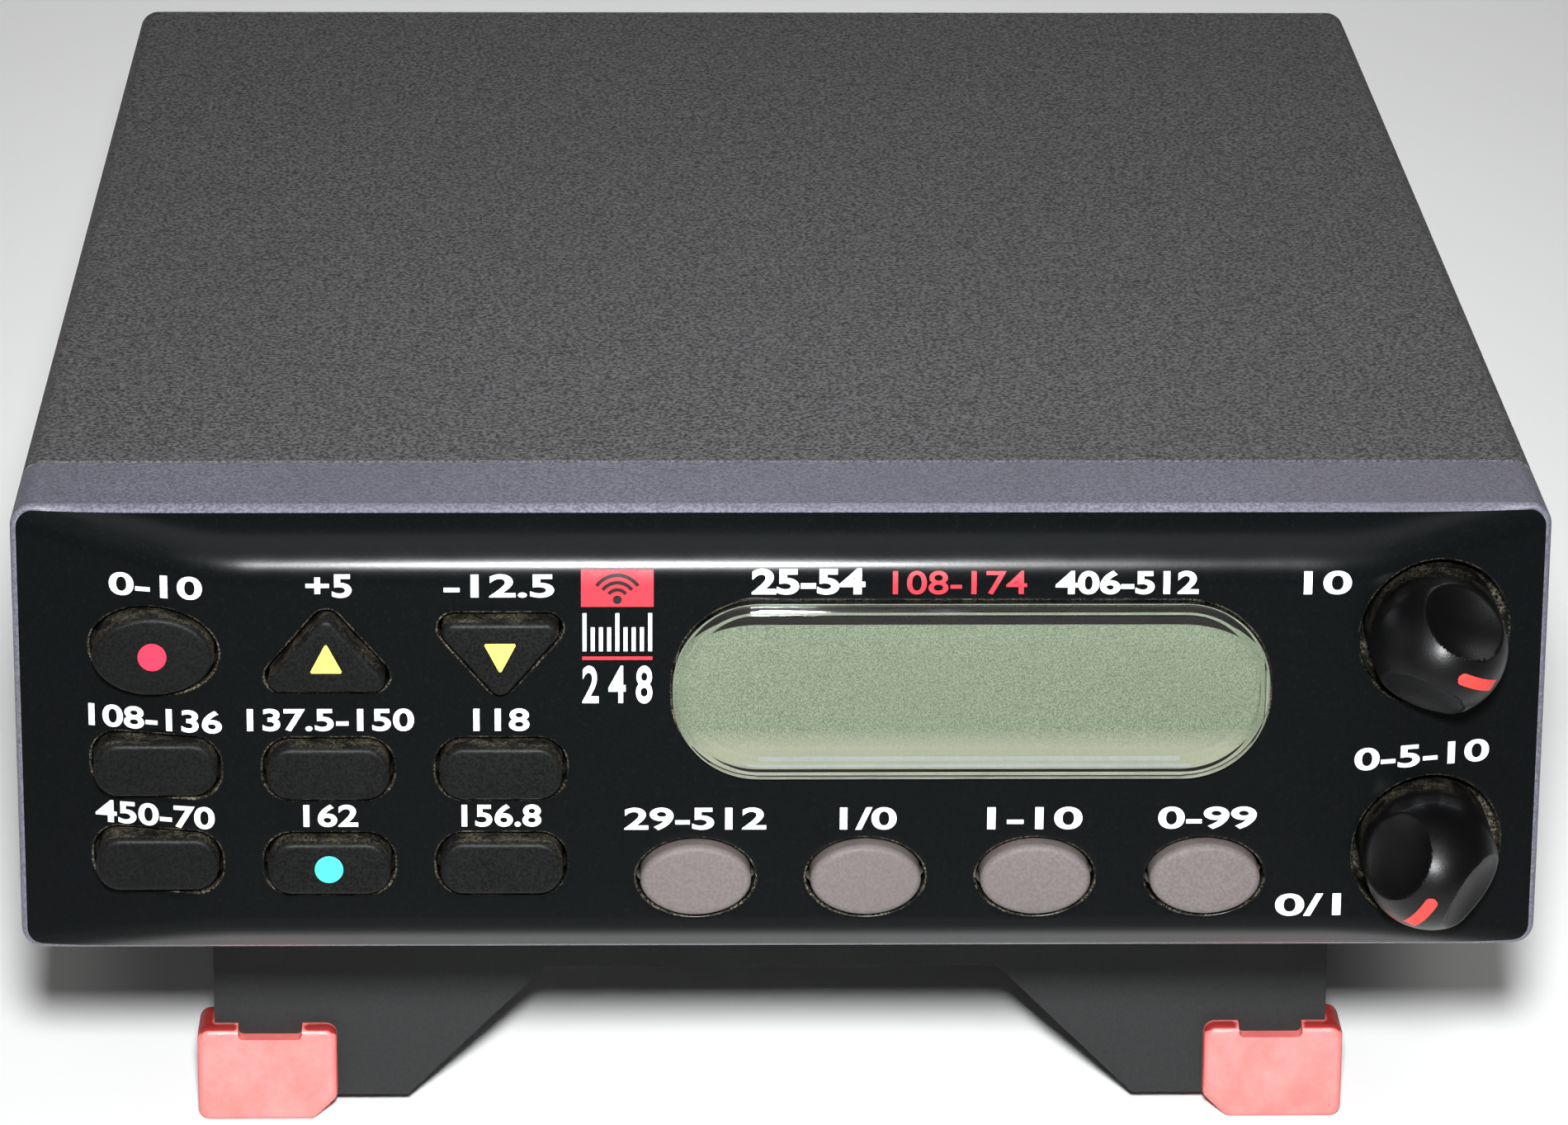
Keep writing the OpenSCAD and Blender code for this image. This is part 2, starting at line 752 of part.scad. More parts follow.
module speaker_magnet() color([0.3, 0.3, 0.32]) placed() {
    translate([0, speaker_y, speaker_z + 9]) difference() {
        cylinder(r = 15, h = 8);
        translate([0, 0, -cut]) cylinder(r = 6.5, h = 5);
    }
}

module speaker_cone() color([0.12, 0.11, 0.1]) placed() {
    translate([0, speaker_y, speaker_z]) rotate_extrude() polygon([
        [26.4, 0.4], [26.9, 0.4], [26.9, 0.9], [24.2, 1.2], [6, 6.6], [5.6, 9.6], [4.9, 9.6],
        [5.1, 6], [0, 4.4], [0, 3.9], [6, 5.8], [24, 0.7]
    ]);
}

module speaker_screws() color("silver") placed() {
    for (turn = [45:90:315]) translate([0, speaker_y, 0]) rotate(turn) translate([31.54, 0, 0]) {
        translate([0, 0, 0.4]) cylinder(r = 1.1, h = speaker_z + 0.5);
        translate([0, 0, speaker_z + 0.8]) cylinder(r = 1.5, h = 1.1);
    }
}

// Tube along a list of points, with eight sides
module tube(points, r) {
    last = len(points) - 1;
    function along(i) =
        let (d = points[min(i + 1, last)] - points[max(i - 1, 0)]) d / norm(d);
    function ring(i) =
        let (t = along(i), s = cross(t, [1, 0, 0]), u = s / norm(s), v = cross(t, u))
        [for (a = [0:45:315]) points[i] + r * (cos(a) * u + sin(a) * v)];
    polyhedron(
        points = [for (i = [0:last]) each ring(i)],
        faces = concat(
            [[for (k = [0:7]) k]],
            [for (i = [0:last - 1], k = [0:7])
                [8 * i + k, 8 * i + 8 + k, 8 * i + 8 + (k + 1) % 8, 8 * i + (k + 1) % 8]],
            [[for (k = [7:-1:0]) 8 * last + k]]
        )
    );
}

// Route of the loudspeaker's twin lead, from the basket to the main board's underside
lead_route = [
    [24, 72, 6.4], [24, 70, 6.6], [24, 67, 7.6], [24, 64, 9.6], [24, 62, 12], [24, 60.6, 15],
    [24, 60, 18], [24, 60, 21], [24, 60, 22.9]
];

module speaker_lead() color([0.7, 0.1, 0.1]) placed() {
    for (shift = [0, 1.7]) translate([shift, 0, 0]) tube(lead_route, 0.8);
}

// ---- Rear sockets ----

module antenna_jack() color([0.8, 0.8, 0.8]) placed() {
    mouth = rear_y + rear_t + antenna_out;
    translate([antenna_x, mouth, jack_z]) rotate([90, 0, 0]) difference() {
        union() {
            cylinder(r = antenna_r, h = antenna_out + rear_t + 8);
            translate([0, 0, antenna_out - 1.2]) cylinder(r = 7.4, h = 1.2);
            translate([0, 0, antenna_out + rear_t + 8 - cut]) cylinder(r = 2, h = 3);
        }
        translate([0, 0, -cut]) cylinder(r = 4.5, h = antenna_bore + cut);
        cylinder(r = 1.65, h = 14);
    }
}

module power_jack() color([0.1, 0.1, 0.1]) placed() {
    mouth = rear_y + rear_t + 0.8;
    difference() {
        union() {
            block([power_x - 5.5, rear_y - 12, jack_z - 5.5], [power_x + 5.5, rear_y - hair, jack_z + 5.5]);
            bar(power_r, rear_y - 1, mouth, power_x, jack_z);
        }
        bar(2.9, mouth - 10, mouth + 1, power_x, jack_z);
    }
    bar(1.05, mouth - 10.1, mouth - 1, power_x, jack_z);
}

module speaker_jack() color([0.1, 0.1, 0.1]) placed() {
    mouth = rear_y + rear_t + 1.5;
    difference() {
        union() {
            block([extension_x - 5, rear_y - 13, jack_z - 5], [extension_x + 5, rear_y - hair, jack_z + 5]);
            bar(extension_r, rear_y - 1, mouth, extension_x, jack_z);
        }
        bar(1.8, mouth - 14, mouth + 1, extension_x, jack_z);
    }
}

// ---- What is drawn ----

top_cover();
bottom_cover();
front_bezel();
rear_panel();
cover_screws();
rear_screws();
rear_feet();
stand_plate();
stand_cap_left();
stand_cap_right();
stand_pins();
display_window();
display_glass();
display_frame();
display_lamps();
display_connector();
front_board();
keypad_mat();
key_contacts();
front_header();
key_hold();
key_up();
key_down();
for (i = [1:6]) key_bank(i);
for (i = [1:4]) key_function(i);
volume_knob();
squelch_knob();
volume_shaft();
squelch_shaft();
volume_control();
squelch_control();
main_board();
board_screws();
tuner_shield();
tuner_lid();
crystal_filters();
processor();
audio_amplifier();
voltage_regulator();
heat_sink();
capacitors();
coil_cans();
memory_cell();
speaker_frame();
speaker_magnet();
speaker_cone();
speaker_screws();
speaker_lead();
antenna_jack();
power_jack();
speaker_jack();
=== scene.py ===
"""Looks of the desktop police scanner. Shapes are drawn in millimetres in the case's own level
position (x right, y inwards from the rim of the front panel, z up from the case's underside) and
are then leaned back on the stand by LEVEL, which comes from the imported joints."""

import json
import math

import bmesh
import bpy
import numpy as np
from mathutils import Matrix, Vector
from mathutils.geometry import delaunay_2d_cdt


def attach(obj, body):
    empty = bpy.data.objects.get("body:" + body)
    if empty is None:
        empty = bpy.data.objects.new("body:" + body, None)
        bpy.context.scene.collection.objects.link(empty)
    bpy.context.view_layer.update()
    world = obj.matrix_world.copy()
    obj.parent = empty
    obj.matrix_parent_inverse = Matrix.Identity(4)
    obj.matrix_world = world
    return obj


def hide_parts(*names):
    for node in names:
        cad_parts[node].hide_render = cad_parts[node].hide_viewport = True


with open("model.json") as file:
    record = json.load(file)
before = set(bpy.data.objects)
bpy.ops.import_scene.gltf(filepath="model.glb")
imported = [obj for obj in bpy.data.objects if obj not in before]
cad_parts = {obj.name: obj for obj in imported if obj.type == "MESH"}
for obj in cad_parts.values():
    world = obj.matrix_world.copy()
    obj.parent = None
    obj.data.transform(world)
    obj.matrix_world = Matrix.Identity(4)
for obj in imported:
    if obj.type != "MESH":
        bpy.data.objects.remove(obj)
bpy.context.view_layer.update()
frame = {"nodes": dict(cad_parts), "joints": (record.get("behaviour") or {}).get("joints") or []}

NODES = frame["nodes"]
JOINTS = {j["name"]: j for j in frame["joints"]}
MM = 0.001

# ---- Driving sizes, in millimetres ----

# Case, bezel and bulged panel
CASE_W, CASE_H, CASE_R = 135.0, 41.5, 2.0
BEZEL_D, LIP_END, WALL, BEZEL_WALL = 12.4, 17.0, 1.7, 2.6
PANEL_T, BULGE = 2.0, 4.0
FACE_W, FACE_LOW, FACE_TOP = 101.0, 3.2, 37.7
CREASE_END, CREASE_TOP, CREASE_LOW = 0.9, 2.6, 1.2
RIM, BACK_EDGE, OPENING_EDGE = 0.55, 0.3, 0.22
# Keys
OVAL, SMALL_OVAL, PILL, TRIANGLE = (11.4, 8.0), (10.5, 7.3), (11.5, 5.7), (10.9, 7.5)
PILL_R, TRIANGLE_R = 2.5, 1.4
KEY_GAP, KEY_ROUND, KEY_CROWN = 0.35, 0.6, 0.06
KEY_FLANGE, KEY_FLANGE_Y, KEY_FLANGE_T = 0.6, 1.5, 1.0
PLUNGER_R, PLUNGER_END = 2.4, 8.75
DOT_R, MARK_W, MARK_H, MARK_R = 1.25, 2.7, 2.6, 0.15
# Display window
WINDOW_X, WINDOW_Z, WINDOW_W, WINDOW_H, WINDOW_R = 16.5, 25.8, 52.4, 16.3, 7.6
WINDOW_RISE, WINDOW_STEP, WINDOW_EDGE, WINDOW_LEDGE = 1.5, 0.45, 0.3, 0.35
WINDOW_GAP, WINDOW_FLANGE, WINDOW_FLANGE_T = 0.03, 1.4, 1.0
# How far down the painted shadow over the top of the display reaches
SHADOW_DROP = 2.6
# Knobs and their wells
WELL_R, WELL_FLOOR, WELL_FLOOR_T, WELL_WALL, SHAFT_R = 6.7, 1.5, 1.5, 0.5, 3.0
KNOB_R, KNOB_RISE, KNOB_BACK, KNOB_CORE, KNOB_EDGE = 5.9, 13.0, 1.0, 7.0, 0.25
DOME_R, DOME_H = 6.15, 8.0
SCOOP_R, SCOOP_OUT, SCOOP_UP = 8.5, 10.1, 0.2
POINTER_IN, POINTER_OUT, POINTER_HALF, POINTER_RISE = 1.0, 1.0, 0.56, 0.07
VOLUME_ANGLE, SQUELCH_ANGLE = 207.0, 117.0
# Stand
STAND_Y, STAND_W, STAND_T, HINGE_Z = 30.0, 104.6, 3.0, -3.5
CAP_W, CAP_H, CAP_WALL, CAP_DROP, CAP_R, CAP_EDGE = 13.1, 9.4, 1.6, 28.4, 1.1, 0.75
# Print: how far ink stands out of the panel and reaches into it, and the rows' feet
INK_OUT, WAVE_OUT, INK_IN = -0.05, -0.08, 0.02
ROW_1, ROW_2, ROW_3, ROW_F, ROW_TOP = 34.3, 21.95, 13.0, 12.65, 34.55
LETTER_H = 2.1
# Viewpoint, in the level position, its angles in degrees
CAMERA_AT, CAMERA_PITCH, CAMERA_YAW, CAMERA_ROLL = (-15.42, -562.56, 225.07), 18.557, 1.581, 0.444
CAMERA_SENSOR, CAMERA_LENS = 36.0, 155.58

# ---- The level position ----

ACROSS = Vector((1, 0, 0))
INWARD = Vector(JOINTS["volume_turn"]["axis"]).normalized()
UPWARD = ACROSS.cross(INWARD)
ORIGIN = Vector(JOINTS["stand_fold"]["pos_m"]) - MM * (STAND_Y * INWARD + HINGE_Z * UPWARD)
TILT = Matrix((ACROSS, INWARD, UPWARD)).transposed()
LEVEL = Matrix.Translation(ORIGIN) @ (TILT * MM).to_4x4()


def level_place(joint):
    """Where a turning joint is in the level position, across and up."""
    p = LEVEL.inverted() @ Vector(JOINTS[joint]["pos_m"])
    return p.x, p.z


def level_middle(node):
    """The middle of a CAD node in the level position, across and up."""
    points = [LEVEL.inverted() @ v.co for v in NODES[node].data.vertices]
    across, up = [p.x for p in points], [p.z for p in points]
    return (min(across) + max(across)) / 2, (min(up) + max(up)) / 2


def add_object(name, data):
    added = bpy.data.objects.new(name, data)
    bpy.context.scene.collection.objects.link(added)
    return added


def modify(piece, name, kind, **settings):
    added = piece.modifiers.new(name, kind)
    for key, value in settings.items():
        setattr(added, key, value)
    return added


def evaluated_mesh(source):
    """A new mesh of the object with its modifiers, or of a text."""
    bpy.context.view_layer.update()
    return bpy.data.meshes.new_from_object(
        source.evaluated_get(bpy.context.evaluated_depsgraph_get())
    )


# ---- Node trees ----


class Look:
    """A material built around one Principled shader, with its coordinates in metres."""

    def __init__(self, name, **sockets):
        self.material = bpy.data.materials.new(name)
        self.material.use_nodes = True
        self.nodes = self.material.node_tree.nodes
        self.links = self.material.node_tree.links
        self.shader = self.nodes["Principled BSDF"]
        for socket, value in sockets.items():
            self.shader.inputs[socket.replace("_", " ")].default_value = value
        self.place = self.add("ShaderNodeTexCoord").outputs["Object"]

    def add(self, kind, inputs=None, **settings):
        node = self.nodes.new(kind)
        for key, value in settings.items():
            setattr(node, key, value)
        for socket, source in (inputs or {}).items():
            self.join(source, node, socket)
        return node

    def join(self, source, node, socket):
        target = node.inputs[socket]
        if isinstance(source, bpy.types.NodeSocket):
            self.links.new(source, target)
        elif isinstance(source, tuple) and len(source) == 3:
            target.default_value = (*source, 1)
        else:
            target.default_value = source

    def set(self, socket, source):
        self.join(source, self.shader, socket)

    def height(self):
        """Height above the case's underside in millimetres, in the level position."""
        inputs = {0: self.place, 1: UPWARD / MM}
        node = self.add("ShaderNodeVectorMath", inputs, operation="DOT_PRODUCT")
        return self.maths("SUBTRACT", node.outputs["Value"], ORIGIN.dot(UPWARD) / MM)

    def stretched(self, stretch):
        node = self.add("ShaderNodeMapping", {"Vector": self.place, "Scale": Vector(stretch)})
        return node.outputs["Vector"]

    def noise(self, size, detail=2.0, rough=0.5, stretch=(1, 1, 1)):
        """Noise whose blotches are about size millimetres wide."""
        place, scale = self.stretched(stretch), 1 / (size * MM)
        inputs = {"Vector": place, "Scale": scale, "Detail": detail, "Roughness": rough}
        return self.add("ShaderNodeTexNoise", inputs).outputs["Fac"]

    def cells(self, size):
        inputs = {"Vector": self.place, "Scale": 1 / (size * MM)}
        return self.add("ShaderNodeTexVoronoi", inputs).outputs["Distance"]

    def spread(self, value, low, high, to_low=0.0, to_high=1.0):
        sockets = ("Value", "From Min", "From Max", "To Min", "To Max")
        inputs = dict(zip(sockets, (value, low, high, to_low, to_high)))
        return self.add("ShaderNodeMapRange", inputs).outputs["Result"]

    def maths(self, operation, a, b):
        return self.add("ShaderNodeMath", {0: a, 1: b}, operation=operation).outputs[0]

    def mix(self, share, a, b):
        return self.add("ShaderNodeMix", {0: share, 6: a, 7: b}, data_type="RGBA").outputs[2]

    def attribute(self, name):
        return self.add("ShaderNodeAttribute", attribute_name=name).outputs["Fac"]

    def dusting(self):
        """Patchy specks of dust where the mesh's dust attribute asks for them."""
        specks = self.spread(self.noise(0.2, 4.0, 0.8), 0.46, 0.6)
        patches = self.spread(self.noise(2.2, 3.0, 0.6), 0.42, 0.62, 0.08, 0.9)
        share = self.maths("MULTIPLY", specks, patches)
        return self.maths("MULTIPLY", self.attribute("dust_and_shade"), share)

    def paint(self, share, a, b):
        self.set("Base Color", self.mix(share, a, b))

    def rough(self, value, low, high):
        self.set("Roughness", self.spread(value, 0.3, 0.7, low, high))

    def bump(self, height, depth):
        """A bump whose full height is depth millimetres."""
        node = self.add("ShaderNodeBump", {"Height": height, "Distance": depth * MM})
        self.set("Normal", node.outputs["Normal"])


def shade(colour, factor):
    return tuple(c * factor for c in colour)


DUST = (0.2, 0.172, 0.12)


def moulded(
    name, colour, rough, grain=0.25, relief=0.02, mottle=0.18, dusty=0.0, cloud=0.5, **sockets
):
    """Plastic or rubber: fine grain, faint mottling, and dust where the mesh says so."""
    look = Look(name, **sockets)
    fine = look.noise(grain, 3.0, 0.6)
    broad = look.noise(28.0, 3.0)
    pale = shade(colour, 1 + mottle)
    base = look.mix(look.spread(fine, 0.4, 0.6), shade(colour, 1 - mottle), pale)
    base = look.mix(look.spread(broad, 0.35, 0.7, 0.0, cloud), base, shade(colour, 0.82))
    change = 0.3 * cloud
    worn = look.noise(6.0, 4.0, 0.65)
    worn = look.spread(worn, 0.35, 0.75, rough * (1 - change), min(rough * (1 + change), 1.0))
    if dusty:
        share = look.maths("MULTIPLY", look.dusting(), dusty)
        base = look.mix(share, base, DUST)
        worn = look.maths("ADD", worn, look.maths("MULTIPLY", share, 0.4))
    look.set("Base Color", base)
    look.set("Roughness", worn)
    look.bump(fine, relief)
    return look.material


def brushed(name, colour, rough, along=(1, 60, 60), relief=0.004):
    """Metal with fine lines left by rolling or brushing, and slightly uneven tarnish."""
    look = Look(name, Metallic=1.0)
    lines = look.noise(6.0, 4.0, 0.6, along)
    tarnish = look.noise(9.0, 3.0)
    tone = look.mix(look.spread(lines, 0.3, 0.7), shade(colour, 0.86), colour)
    share = look.spread(tarnish, 0.4, 0.75, 0, 0.35)
    look.paint(share, tone, shade(colour, 0.7))
    look.rough(lines, rough * 0.8, rough * 1.25)
    look.bump(lines, relief)
    return look.material


def printed(name, colour):
    """Screen-printed ink, very slightly uneven."""
    look = Look(name, Specular_IOR_Level=0.3)
    thin = look.noise(0.35, 3.0, 0.6)
    look.paint(look.spread(thin, 0.3, 0.75), colour, shade(colour, 0.88))
    look.rough(thin, 0.42, 0.6)
    look.bump(thin, 0.004)
    return look.material


# ---- Mesh building ----


def arc(x, z, r, start, turn, steps):
    """Points with their outward normals along a circular arc, angles in degrees."""
    out = []
    for i in range(steps + 1):
        a = math.radians(start + turn * i / steps)
        out.append((x + r * math.cos(a), z + r * math.sin(a), math.cos(a), math.sin(a)))
    return out


def rounded(corners, r, steps=8):
    """Outline of an anticlockwise convex polygon grown by r."""
    out = []
    for i, (x, z) in enumerate(corners):
        before, after = corners[i - 1], corners[(i + 1) % len(corners)]
        start = math.degrees(math.atan2(before[0] - x, z - before[1])) % 360
        end = math.degrees(math.atan2(x - after[0], after[1] - z)) % 360
        out += arc(x, z, r, start, (end - start) % 360, steps)
    return out


def rounded_rect(x, z, w, h, r, steps=8):
    a, b = w / 2 - r, h / 2 - r
    return rounded([(x - a, z - b), (x + a, z - b), (x + a, z + b), (x - a, z + b)], r, steps)


def ellipse(x, z, w, h, steps=56):
    out = []
    for i in range(steps):
        a = 2 * math.pi * i / steps
        n = Vector((math.cos(a) / w, math.sin(a) / h)).normalized()
        out.append((x + w / 2 * math.cos(a), z + h / 2 * math.sin(a), n.x, n.y))
    return out


def triangle(x, z, w, h, way, r=TRIANGLE_R):
    """Rounded triangle that points up (way 1) or down (way -1)."""
    foot = way * (r - h / 2)
    corners = [(r - w / 2, foot), (w / 2 - r, foot), (0, way * (h / 2 - r))]
    if way < 0:
        corners.reverse()
    return rounded([(x + a, z + b) for a, b in corners], r, 10)


def circle(x, z, r, steps=72):
    return ellipse(x, z, 2 * r, 2 * r, steps)


def denser(outline, step):
    """The outline with points added along its straight runs, so that it can bend."""
    out = []
    for i, p in enumerate(outline):
        q = outline[(i + 1) % len(outline)]
        n = max(1, round(math.dist(p[:2], q[:2]) / step))
        out += [tuple(a + (b - a) * k / n for a, b in zip(p, q)) for k in range(n)]
    return out


def grown(outline, d):
    return [(x + nx * d, z + nz * d) for x, z, nx, nz in outline]


def fillet(steps=5):
    """Shares (out, along) of a quarter round, from flush with one face to flush with the next."""
    return [
        (1 - math.sin(math.pi / 2 * i / steps), 1 - math.cos(math.pi / 2 * i / steps))
        for i in range(steps + 1)
    ]


class Solid:
    """A closed mesh made of rings of points, in millimetres in the level position."""

    def __init__(self):
        self.points, self.faces, self.inks, self.dust_and_shade = [], [], [], []

    def point(self, x, y, z, dust_and_shade=0.0):
        self.points.append((x, y, z))
        self.dust_and_shade.append(dust_and_shade)
        return len(self.points) - 1

    def ring(self, places, y, dust_and_shade=0.0):
        """Adds one ring at depth y, a number or a function of the place."""
        return [self.point(x, y(x, z) if callable(y) else y, z, dust_and_shade) for x, z in places]

    def bridge(self, a, b, ink=0):
        for i in range(len(a)):
            j = (i + 1) % len(a)
            self.faces.append((a[i], a[j], b[j], b[i]))
            self.inks.append(ink)
        return b

    def cap(self, ring, ink=0, y=None, centre=None):
        """Closes a ring with a fan round its middle point."""
        p = np.mean([self.points[i] for i in ring], axis=0) if centre is None else centre
        tip = self.point(p[0], p[1] if y is None else y, p[2])
        for i in range(len(ring)):
            self.faces.append((ring[i], ring[(i + 1) % len(ring)], tip))
            self.inks.append(ink)

    def tube(self, rings, ink=0):
        """Joins rings in order and returns the last."""
        for a, b in zip(rings, rings[1:]):
            self.bridge(a, b, ink)
        return rings[-1]

    def closed(self, rings):
        """Joins rings in order and closes both ends."""
        self.tube(rings)
        self.cap(rings[0])
        self.cap(rings[-1])

    def mesh(self, name):
        made = bpy.data.meshes.new(name)
        made.from_pydata([Vector(p) for p in self.points], [], self.faces)
        made.transform(LEVEL)
        return made

    def piece(self, name, looks, body, slot=None, nodes=(), sharp=38.0):
        mesh = self.mesh(name)
        for m in looks:
            mesh.materials.append(m)
        mesh.polygons.foreach_set("material_index", self.inks)
        # Each point's dust mark goes to the mesh as an attribute; on the stand caps the same mark
        # stands for painted shade.
        mesh.attributes.new("dust_and_shade", "FLOAT", "POINT").data.foreach_set("value", self.dust_and_shade)
        return settle(mesh, name, body, nodes, sharp)


def faces_out(mesh):
    work = bmesh.new()
    work.from_mesh(mesh)
    bmesh.ops.recalc_face_normals(work, faces=work.faces)
    work.to_mesh(mesh)
    work.free()


def settle(mesh, name, body, nodes=(), sharp=38.0):
    """Finishes a mesh that is already in place: faces out, smooth, riding on its body."""
    faces_out(mesh)
    mesh.polygons.foreach_set("use_smooth", [True] * len(mesh.polygons))
    mesh.set_sharp_from_angle(angle=math.radians(sharp))
    piece = add_object(name, mesh)
    modify(piece, "even_normals", "WEIGHTED_NORMAL", keep_sharp=True)
    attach(piece, body)
    if nodes:
        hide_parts(*nodes)
    return piece


# ---- The panel's surface and its openings ----


def soft_max(a, b, r):
    h = np.maximum(r - np.abs(a - b), 0) / r
    return np.maximum(a, b) + h * h * r / 4


def panel_y(x, z):
    """Depth of the panel's outside surface: flat middle, end slopes, top and bottom slopes."""
    x, z = np.abs(np.asarray(x, float)), np.asarray(z, float)
    end = -BULGE + (x - FACE_W / 2) * BULGE / ((CASE_W - FACE_W) / 2)
    top = -(CASE_H - z) * BULGE / (CASE_H - FACE_TOP)
    low = -z * BULGE / FACE_LOW
    y = soft_max(np.full_like(end, -BULGE), end, CREASE_END)
    return soft_max(soft_max(y, top, CREASE_TOP), low, CREASE_LOW)


def surface(x, z):
    return float(panel_y(x, z))


def find_keys():
    """Each key's kind, its rise in front of the panel, and its place across and up."""
    keys = [("hold", "oval", 1.8), ("up", "up", 1.6), ("down", "down", 1.6)]
    keys += [(f"bank_{i}", "pill", 1.5) for i in range(1, 7)]
    keys += [(f"function_{i}", "small_oval", 1.1) for i in range(1, 5)]
    found = {}
    for name, kind, rise in keys:
        x, z = level_middle(f"key_{name}")
        found[name] = (kind, rise, x, z)
    return found


KEYS = find_keys()


def key_outline(kind, x, z):
    if kind == "oval":
        return ellipse(x, z, *OVAL)
    if kind == "small_oval":
        return ellipse(x, z, *SMALL_OVAL)
    if kind == "pill":
        return rounded_rect(x, z, *PILL, PILL_R, 12)
    return triangle(x, z, *TRIANGLE, 1 if kind == "up" else -1)


def window_outline():
    return rounded_rect(WINDOW_X, WINDOW_Z, WINDOW_W, WINDOW_H, WINDOW_R, 24)


def case_outline(inset, step=0.9, least_r=0.4):
    """Front outline of the case drawn in by inset, always with the same number of points."""
    full = rounded_rect(0, CASE_H / 2, CASE_W, CASE_H, CASE_R, 10)
    w, h, r = CASE_W - 2 * inset, CASE_H - 2 * inset, max(CASE_R - inset, least_r)
    flat = rounded_rect(0, CASE_H / 2, w, h, r, 10)
    sides = zip(full, full[1:] + full[:1])
    counts = [max(1, round(math.dist(p[:2], q[:2]) / step)) for p, q in sides]
    out = []
    for p, q, n in zip(flat, flat[1:] + flat[:1], counts):
        out += [(p[0] + (q[0] - p[0]) * k / n, p[1] + (q[1] - p[1]) * k / n) for k in range(n)]
    return out


def within(points, loop):
    """Which of the points lie inside a closed loop."""
    points, loop = np.asarray(points), np.asarray(loop)
    x, z = points[:, 0][:, None], points[:, 1][:, None]
    a, b = loop, np.roll(loop, -1, axis=0)
    crosses = (a[:, 1] > z) != (b[:, 1] > z)
    rise = np.where(b[:, 1] == a[:, 1], 1e-12, b[:, 1] - a[:, 1])
    at = a[:, 0] + (z - a[:, 1]) / rise * (b[:, 0] - a[:, 0])
    return (crosses & (x < at)).sum(1) % 2 == 1


def sheet(solid, border, holes, steps, back, ink):
    """Fills the border, less the holes, with triangles that follow the panel's surface at a
    distance back behind it. Returns the rings of the border and of each hole."""
    loops = [border, *holes]
    lines_x = np.arange(-CASE_W / 2, CASE_W / 2, steps[0])
    lines_z = np.arange(0, CASE_H, steps[1])
    grid = np.array([(x, z) for x in lines_x for z in lines_z])
    keep = within(grid, border)
    for loop in loops:
        edge = np.array(loop)
        for part in np.array_split(np.arange(len(grid)), 8):
            gap = np.sqrt(((grid[part, None] - edge[None]) ** 2).sum(2)).min(1)
            keep[part] &= gap > 0.35 * min(steps)
    for hole in holes:
        keep &= ~within(grid, hole)
    grid = grid[keep]
    points, edges = [Vector(p) for loop in loops for p in loop], []
    first = 0
    for loop in loops:
        edges += [(first + i, first + (i + 1) % len(loop)) for i in range(len(loop))]
        first += len(loop)
    points += [Vector(p) for p in grid]
    found, _, triangles, sources, _, _ = delaunay_2d_cdt(points, edges, [], 0, 1e-6, True)
    flat = np.array([tuple(p) for p in found])
    middles = flat[np.array(triangles)].mean(1)
    solid_part = np.ones(len(middles), bool)
    for hole in holes:
        solid_part &= ~within(middles, hole)
    base = len(solid.points)
    depth = panel_y(flat[:, 0], flat[:, 1]) + back
    solid.points += [(x, d, z) for (x, z), d in zip(flat, depth)]
    solid.dust_and_shade += [0.0] * len(flat)
    for t, keep_it in zip(triangles, solid_part):
        if keep_it:
            solid.faces.append(tuple(base + i for i in t))
            solid.inks.append(ink)
    where = {s: base + i for i, source in enumerate(sources) for s in source}
    rings, first = [], 0
    for loop in loops:
        rings.append([where[first + i] for i in range(len(loop))])
        first += len(loop)
    return rings


def turn_in(solid, ring, outline, dust_and_shade):
    """Rounds an opening's edge over, from the outline grown by the edge down into the hole."""
    rings, edge = [ring], OPENING_EDGE
    for out, along in fillet()[1:]:
        places = grown(outline, edge * out)
        rings.append(solid.ring(places, lambda a, b: surface(a, b) + edge * along, dust_and_shade))
    return solid.tube(rings)


def front_bezel(gloss, matt):
    """The bezel: a glossy bulged panel with its openings, walls, and the lip inside the covers."""
    solid = Solid()
    keys = [key_outline(kind, x, z) for kind, _, x, z in KEYS.values()]
    wells = [circle(*level_place(j), WELL_R) for j in ("volume_turn", "squelch_turn")]
    openings = [*keys, window_outline()]
    holes = [grown(o, OPENING_EDGE) for o in [*openings, *wells]]
    outer = sheet(solid, case_outline(RIM), holes, (0.9, 0.45), 0.0, 0)
    holes = [grown(o, 0) for o in openings] + [grown(o, WELL_WALL) for o in wells]
    inner = sheet(solid, case_outline(BEZEL_WALL), holes, (3.0, 1.5), PANEL_T, 1)
    wall = [outer[0]]
    for out, along in fillet()[1:]:
        drop = RIM * along
        wall.append(solid.ring(case_outline(RIM * out), lambda a, b: min(surface(a, b), 0) + drop))
    for inset, y in (
        (0, BEZEL_D - BACK_EDGE), (BACK_EDGE, BEZEL_D), (WALL, BEZEL_D), (WALL, LIP_END),
        (BEZEL_WALL, LIP_END),
    ):
        wall.append(solid.ring(case_outline(inset), y))
    wall.append(inner[0])
    solid.tube(wall, 1)
    for i, outline in enumerate(openings):
        solid.bridge(turn_in(solid, outer[1 + i], outline, 1.0), inner[1 + i])
    for i, outline in enumerate(wells, len(openings)):
        x, z = outline[0][0] - WELL_R, outline[0][1]
        ring = turn_in(solid, outer[1 + i], outline, 0.5)
        bore = circle(x, z, SHAFT_R + 0.6)
        behind = WELL_FLOOR + WELL_FLOOR_T
        solid.tube([
            ring,
            solid.ring(grown(outline, 0), WELL_FLOOR, 0.9),
            solid.ring(grown(bore, 0), WELL_FLOOR, 0.5),
            solid.ring(grown(bore, 0), behind),
            solid.ring(grown(outline, WELL_WALL), behind),
            inner[1 + i],
        ])
    solid.piece("front_bezel_shell", [gloss, matt], "chassis", "panel_gloss", ["front_bezel"])


# ---- Keys ----


